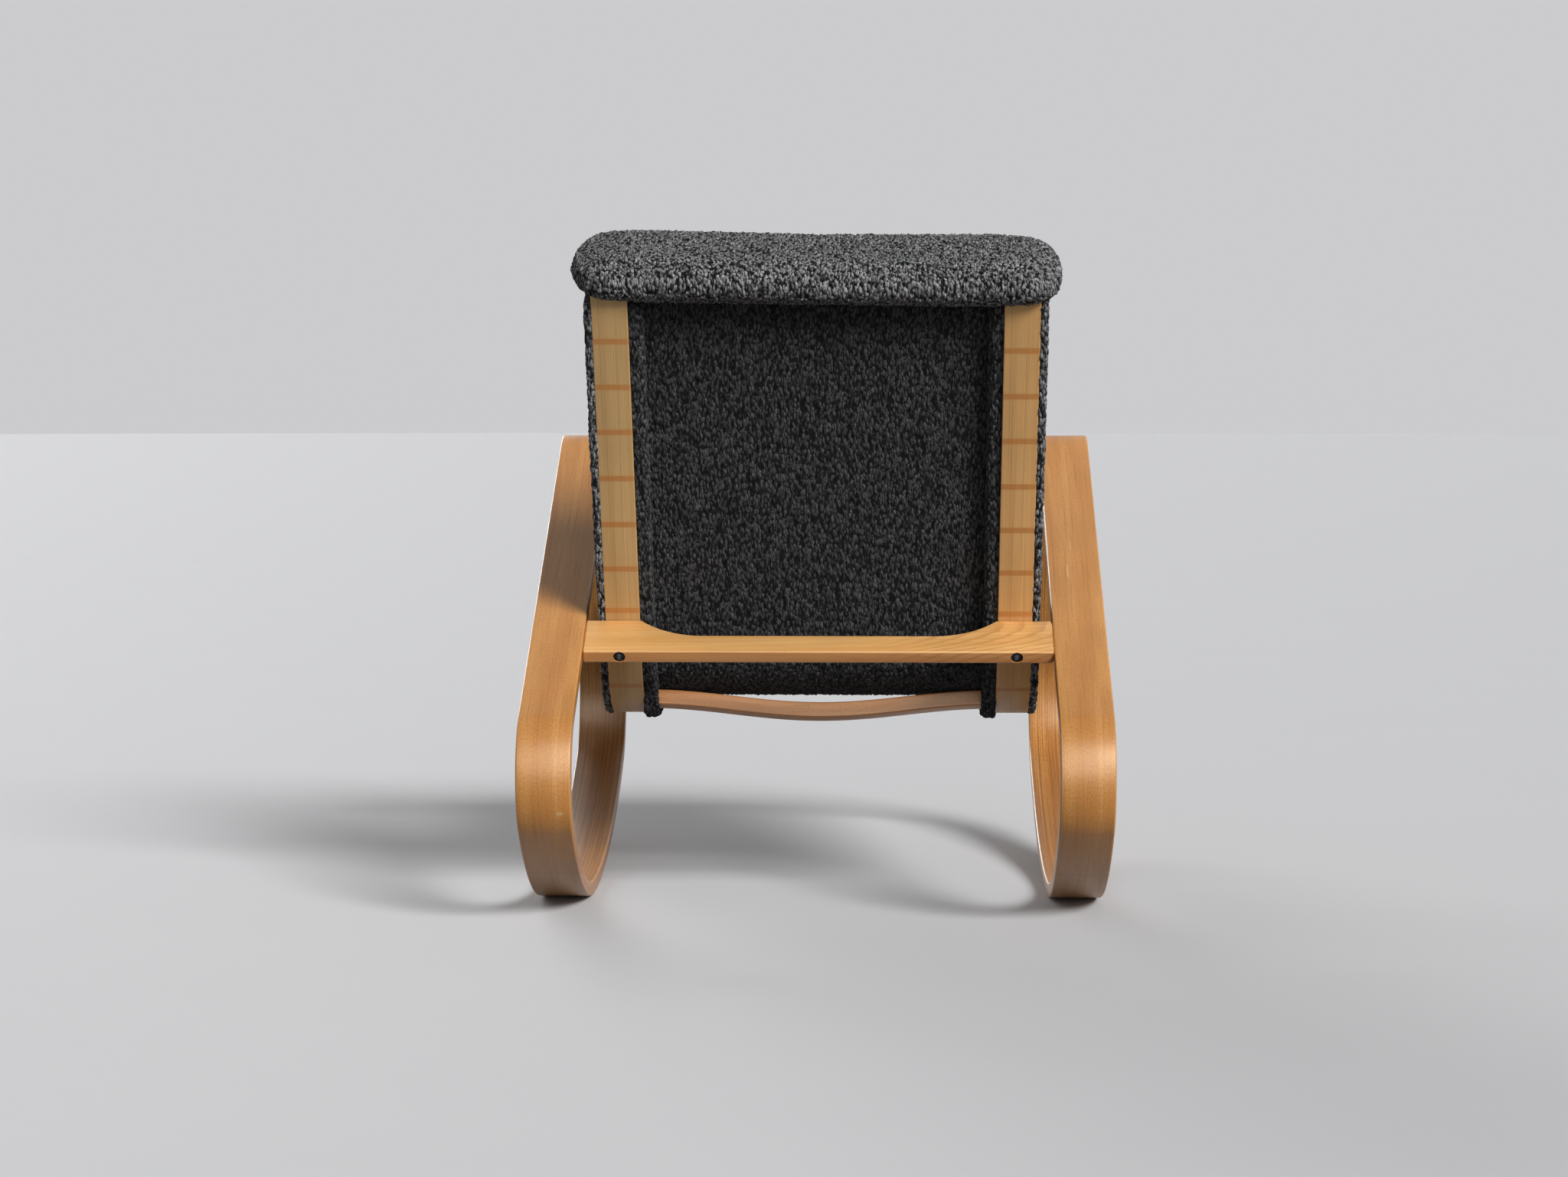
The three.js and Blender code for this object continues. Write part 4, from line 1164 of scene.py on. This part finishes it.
class ROCKING_OT_headrest(bpy.types.Operator):
    """Build the boucle headrest roll over the rails' top ends"""

    bl_idname = "rocking.headrest"
    bl_label = "Headrest Roll"

    def execute(self, context):
        sizes = context.scene.rocking_cloth
        start_height, start_depth = ((0.86, 0.89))
        turns = np.linspace(0, 2 * math.pi, 900, endpoint=False)
        height = signed_power(np.sin(turns), 2 / ROLL_SQUARENESS) * sizes.roll_half_height * start_height
        depth = signed_power(np.cos(turns), 2 / ROLL_SQUARENESS) * sizes.roll_half_depth * start_depth
        ring = even_ring(np.stack([height, depth], 1), ROLL_RING_POINTS)
        half = sizes.roll_half_width + ROLL_END_EXTRA
        near_right, full_right = self.end_rings(*ROLL_ENDS["right"])
        near_left, full_left = self.end_rings(*ROLL_ENDS["left"])
        inner = np.linspace(near_right[-1] - half, half - near_left[-1], 84)[1:-1]
        xs = np.concatenate([near_right - half, inner, half - near_left[::-1]])
        full = np.concatenate([full_right, np.ones(len(inner)), full_left[::-1]])
        sag = np.where(xs < 0, 0.0065, 0.0195) * xs - 0.0013 - np.where(xs < 0, 0.005, 0.004) * (1 - full)
        places = with_x(xs[:, None], full[:, None, None] * ring[None])
        rings = points_beside(ROLL_PLACE, places[..., 0], places[..., 1], ROLL_DEPTH + places[..., 2])
        rings[..., 2] += sag[:, None]
        held = np.zeros(places.shape[:2], bool)
        roll = plumped_rings(
            "headrest_roll_cloth", rings, places, held, ROLL_PRESSURE, ROLL_MOST_MOVED, sizes.plump_frames, 2
        )
        finish_cloth(context.scene, roll, 1.0, 11, "boucle_yarn", 1.0)
        return {"FINISHED"}

    def end_rings(self, reach, fullness):
        """Distances from the roll's end to its rings, and the share of the full size that each has."""
        near = reach * (1 - np.cos(np.linspace(0, 0.5 * math.pi, 10)))
        return near, np.maximum((1 - (1 - near / reach) ** fullness) ** (1 / fullness), 0.14)


class ROCKING_OT_pads(bpy.types.Operator):
    """Build the upholstered back pad and seat pad"""

    bl_idname = "rocking.pads"
    bl_label = "Back and Seat Pads"

    def execute(self, context):
        sizes = context.scene.rocking_cloth
        pads = (
            ("back_pad", CLOTH_TOP - 0.006, CREASE - JOINT_GAP, 0.040, 0.022, self.back_thickness, 21),
            ("seat_pad", CREASE + JOINT_GAP, RAIL_END, 0.022, 0.036, self.seat_thickness, 22),
        )
        for name, start, end, roll_start, roll_end, thickness, salt in pads:

            def fullness(stations):
                return self.rolled(stations - start, roll_start) * self.rolled(end - stations, roll_end)

            fine = np.linspace(start, end, 4000)
            outer = seat_points(0.0, fine, PAD_BASE + thickness(fine, sizes) * fullness(fine))
            run = np.concatenate([[0.0], np.cumsum(np.linalg.norm(np.diff(outer, axis=0), axis=1))])
            flat_run = np.linspace(0, run[-1], round(run[-1] / PAD_STEP))
            stations = np.interp(flat_run, run, fine)
            full = np.maximum(fullness(stations), 0.03)
            heights = thickness(stations, sizes) * full
            section = np.stack([self.ring(sizes, *pair) for pair in zip(heights, PAD_CROWN * full)])
            held = section[..., 1] < 0.25 * heights[:, None]
            points = seat_points(section[..., 0], stations[:, None], PAD_BASE + section[..., 1])
            parts = np.broadcast_arrays(section[..., 0], flat_run[:, None], PAD_BASE + section[..., 1])
            places = np.stack(parts, -1)
            pad = plumped_rings(
                f"{name}_cloth", points, places, held, PAD_PRESSURE, PAD_MOST_MOVED, sizes.plump_frames, 1
            )
            finish_cloth(context.scene, pad, 1.0, salt, "boucle_yarn", 1.0)
        return {"FINISHED"}

    def rolled(self, distance, reach):
        """The share of a pad's thickness near one of its ends."""
        share = np.clip(1 - distance / reach, 0, 1)
        return (1 - share**2.3) ** (1 / 2.3)

    def back_thickness(self, place, sizes):
        return np.full_like(place, sizes.back_thickness)

    def seat_thickness(self, place, sizes):
        share = smooth_share((place - TAPER_START) / (KNEE_END - TAPER_START))
        return sizes.seat_thickness + (sizes.knee_thickness - sizes.seat_thickness) * share

    def ring(self, sizes, tall, crown):
        """A pad's section: flat with tight corners below, crowned above."""
        turns = np.linspace(0, 2 * math.pi, 1600, endpoint=False) - 0.5 * math.pi
        power = np.where(np.sin(turns) < 0, 2 / 14, 2 / 5)
        across, up = signed_power(np.cos(turns), power), signed_power(np.sin(turns), power)
        side_room, front_room = ((PAD_SIDE_ROOM, PAD_FRONT_ROOM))
        x = across * (sizes.half_width - side_room - PAD_SIDE_BOW * (1 - up * up))
        top = tall + crown * (1 - across * across) - front_room * min(1.0, tall / 0.02)
        depth = np.maximum((1 + up) / 2 * top, 0.0)
        return even_ring(np.stack([x, depth], 1), PAD_RING_POINTS, np.where(up < -0.7, 0.34, 1.0))


class ROCKING_OT_rear_cloth(bpy.types.Operator):
    """Build the dark cloth panel and the padded strips along the rails, their yarn darkened with painted
    shade and, on the panel and seat strips, the lining's own darker tone
    """

    bl_idname = "rocking.rear_cloth"
    bl_label = "Rear Cloth"

    def execute(self, context):
        scene = context.scene
        sizes, woods = scene.rocking_cloth, scene.rocking_wood
        self.panel(scene, woods)
        outer, lip = woods.rail_inner + woods.rail_width + JOINT_GAP, woods.rail_inner - LIP_REACH
        slot, dark = "charcoal_boucle", "dark_lining"
        forms = (
            (outer, sizes.half_width - outer, 0.0, 0.0312, 0.0034),
            (lip, 0.016, 0.005, 0.026, 0.0072),
            (lip, 0.016, -0.005, 0.026, 0.0072),
        )
        # The share column darkens the yarn: on the outer and inner strips it is painted shade, on the seat
        # strips painted shade with the lining's darker tone.
        strips = (
            ("outer_edge_strip", CLOTH_TOP - 0.010, RAIL_END, 31, 0.85, slot),
            ("inner_edge_strip", CLOTH_TOP - 0.006, LIP_CHANGE, 41, 0.28, slot),
            ("seat_edge_strip", LIP_CHANGE, CLOTH_END, 51, 0.18, dark),
        )
        for (name, start, end, salt, share, slot), form in zip(strips, forms):
            stations, x, depth = self.strip(name, start, end, *form)
            for side, sign in SIDES:
                places = np.stack(np.broadcast_arrays(sign * x, stations[:, None], depth), -1)
                points = seat_points(sign * x, stations[:, None], depth)
                strip = cloth_rings(f"{name}_{side}_cloth", points, places)
                finish_cloth(scene, strip, 0.85, salt, f"{name}_yarn", share)
        return {"FINISHED"}

    def strip(self, name, start, end, near, width, low, high, radius):
        """Stations, and the places across and towards the sitter of a strip's points at each."""
        section, _ = rounded_section(2 * width, high - low, radius, 6)
        if name == "outer_edge_strip":
            section[:, 0] = np.maximum(section[:, 0] - width, 0.0)
        else:
            section[:, 0] = np.minimum(section[:, 0], width)
        ring = even_ring(section, max(24, round(2 * (width + high - low) / STRIP_STEP)))
        middle = ring.mean(0)
        stations = np.linspace(start, end, round((end - start) / STRIP_STEP))
        away = np.minimum(stations - start, end - stations)
        full = 0.45 + 0.55 * np.sqrt(1 - np.clip(1 - away / STRIP_END_EASE, 0, 1) ** 2)
        x, depth = (middle + (ring - middle) * full[:, None, None] + (near, low)).transpose(2, 0, 1)
        if name == "inner_edge_strip":
            over = smooth_share((stations - (BOWED_BAR - 0.034)) / 0.020)[:, None]
            on_bar = -0.0090 + (depth - low) * 0.0078 / (high - low)
            depth = depth + over * (on_bar - depth)
        return stations, x, depth

    def panel(self, scene, woods):
        half = woods.rail_inner - PANEL_REACH
        across = np.linspace(-half, half, 200)
        fine = np.arange(CLOTH_TOP, PANEL_FINE_END, PANEL_STEP)
        coarse = np.linspace(PANEL_FINE_END, CLOTH_END, 150)
        x, distance = np.meshgrid(across, np.concatenate([fine, coarse]))
        rows, columns = x.shape
        row, column = np.meshgrid(np.arange(rows - 1), np.arange(columns - 1), indexing="ij")
        first = (row * columns + column).ravel()
        quads = np.stack([first, first + 1, first + columns + 1, first + columns], 1).tolist()
        points = seat_points(x, distance, PANEL_DEPTH).reshape(-1, 3)
        panel = new_piece("rear_cloth_panel_cloth", points, quads, smooth_angle=0)
        inward = seat_line(0.3)[2][0]
        if np.dot(np.array(panel.data.polygons[0].normal)[1:], inward) > 0:
            panel.data.flip_normals()
        set_attribute(panel, "cloth", np.stack([x, distance, np.full_like(x, PANEL_DEPTH)], -1))
        # The panel's darker yarn is partly the lining's own tone, partly painted shade.
        finish_cloth(scene, panel, 0.8, 61, "panel_yarn", 0.24)


class ROCKING_OT_studio(bpy.types.Operator):
    """Build the floor, the lamps and the camera"""

    bl_idname = "rocking.studio"
    bl_label = "Studio"

    def execute(self, context):
        scene = context.scene
        studio = scene.rocking_studio
        self.floor(scene.rocking_colours.floor)
        self.world(scene, studio)
        for name, place, power, softness in LAMPS:
            lamp = self.lamp(name, place, getattr(studio, power), softness)
        lamp.visible_diffuse = False
        lamp.data.color = (0.88, 1.0, 1.15)
        self.camera(scene)
        scene.view_settings.view_transform = "Standard"
        return {"FINISHED"}

    def floor(self, tone):
        turns = np.arange(FLOOR_SIDES) * 2 * math.pi / FLOOR_SIDES
        circle = np.stack([np.cos(turns), np.sin(turns), 0 * turns], 1)
        points = np.concatenate([np.zeros((1, 3))] + [radius * circle for radius in FLOOR_RINGS])
        quads, _, _ = ring_faces(len(FLOOR_RINGS), FLOOR_SIDES)
        faces = [[0, 1 + i, 1 + (i + 1) % FLOOR_SIDES] for i in range(FLOOR_SIDES)]
        faces += [[1 + corner for corner in quad] for quad in quads[:-2]]
        floor = new_piece("studio_floor", points, faces, 0)
        look = Look("studio_floor")
        mottle = look.noise(look.object_place(), 3.0, 3.0)
        seen = look.mixed(mottle, dimmed(tone, 0.97), tone)
        floor.data.materials.append(look.made(look.mixed(look.seen_rays(), dimmed(tone, 0.16), seen), 0.85))

    def world(self, scene, studio):
        scene.world = bpy.data.worlds.new("studio_room")
        nodes = Nodes(scene.world)
        room = nodes.add("Background", {"Color": (1, 1, 1), "Strength": studio.sky_strength})
        seen = nodes.add("Background", {"Color": BACKGROUND, "Strength": 1.0})
        both = nodes.add("MixShader", {0: nodes.seen_rays(), 1: room.outputs[0], 2: seen.outputs[0]})
        nodes.add("OutputWorld", {0: both.outputs[0]})

    def lamp(self, name, place, power, softness):
        data = bpy.data.lights.new(name, "SUN")
        data.energy = power
        data.angle = softness * DEGREE
        lamp = add_object(name, data)
        lamp.location = [3 * v for v in place]
        lamp.rotation_euler = (-Vector(place)).to_track_quat("-Z", "Y").to_euler()
        return lamp

    def camera(self, scene):
        data = bpy.data.cameras.new("photo_view")
        data.sensor_width = 36.0
        data.lens = 80.86
        data.clip_end = 100.0
        camera = add_object("photo_view", data)
        camera.location = CAMERA_PLACE
        level = side_direction(CAMERA_YAW) * math.cos(CAMERA_PITCH)
        ahead = Vector((*level, -math.sin(CAMERA_PITCH)))
        camera.rotation_euler = ahead.to_track_quat("-Z", "Y").to_euler()
        scene.camera = camera


class ROCKING_PT_panel(bpy.types.Panel):
    """The chair's pieces, sizes and colours"""

    bl_idname = "ROCKING_PT_panel"
    bl_label = "Rocking Chair"
    bl_space_type = "VIEW_3D"
    bl_region_type = "UI"
    bl_category = "Rocking Chair"

    def draw(self, context):
        for operator in OPERATORS:
            self.layout.operator(operator.bl_idname)
        for key, group in GROUPS.items():
            box = self.layout.box()
            for name in group.__annotations__:
                box.prop(getattr(context.scene, key), name)


OPERATORS = (
    ROCKING_OT_studio,
    ROCKING_OT_side_loops,
    ROCKING_OT_cross_bars,
    ROCKING_OT_bolts,
    ROCKING_OT_seat_rails,
    ROCKING_OT_bowed_bar,
    ROCKING_OT_hidden_parts,
    ROCKING_OT_rear_cloth,
    ROCKING_OT_pads,
    ROCKING_OT_headrest,
)
GROUPS = {
    "rocking_wood": ChairWoodSizes,
    "rocking_cloth": ChairClothSizes,
    "rocking_colours": ChairColours,
    "rocking_studio": ChairStudio,
}


def register():
    for item in (*GROUPS.values(), *OPERATORS, ROCKING_PT_panel):
        bpy.utils.register_class(item)
    for name, group in GROUPS.items():
        setattr(bpy.types.Scene, name, PointerProperty(type=group))


def unregister():
    for name in GROUPS:
        delattr(bpy.types.Scene, name)
    for item in reversed((*GROUPS.values(), *OPERATORS, ROCKING_PT_panel)):
        bpy.utils.unregister_class(item)


def main():
    register()
    for operator in OPERATORS:
        group, name = operator.bl_idname.split(".")
        getattr(getattr(bpy.ops, group), name)()


if __name__ == "__main__":
    main()
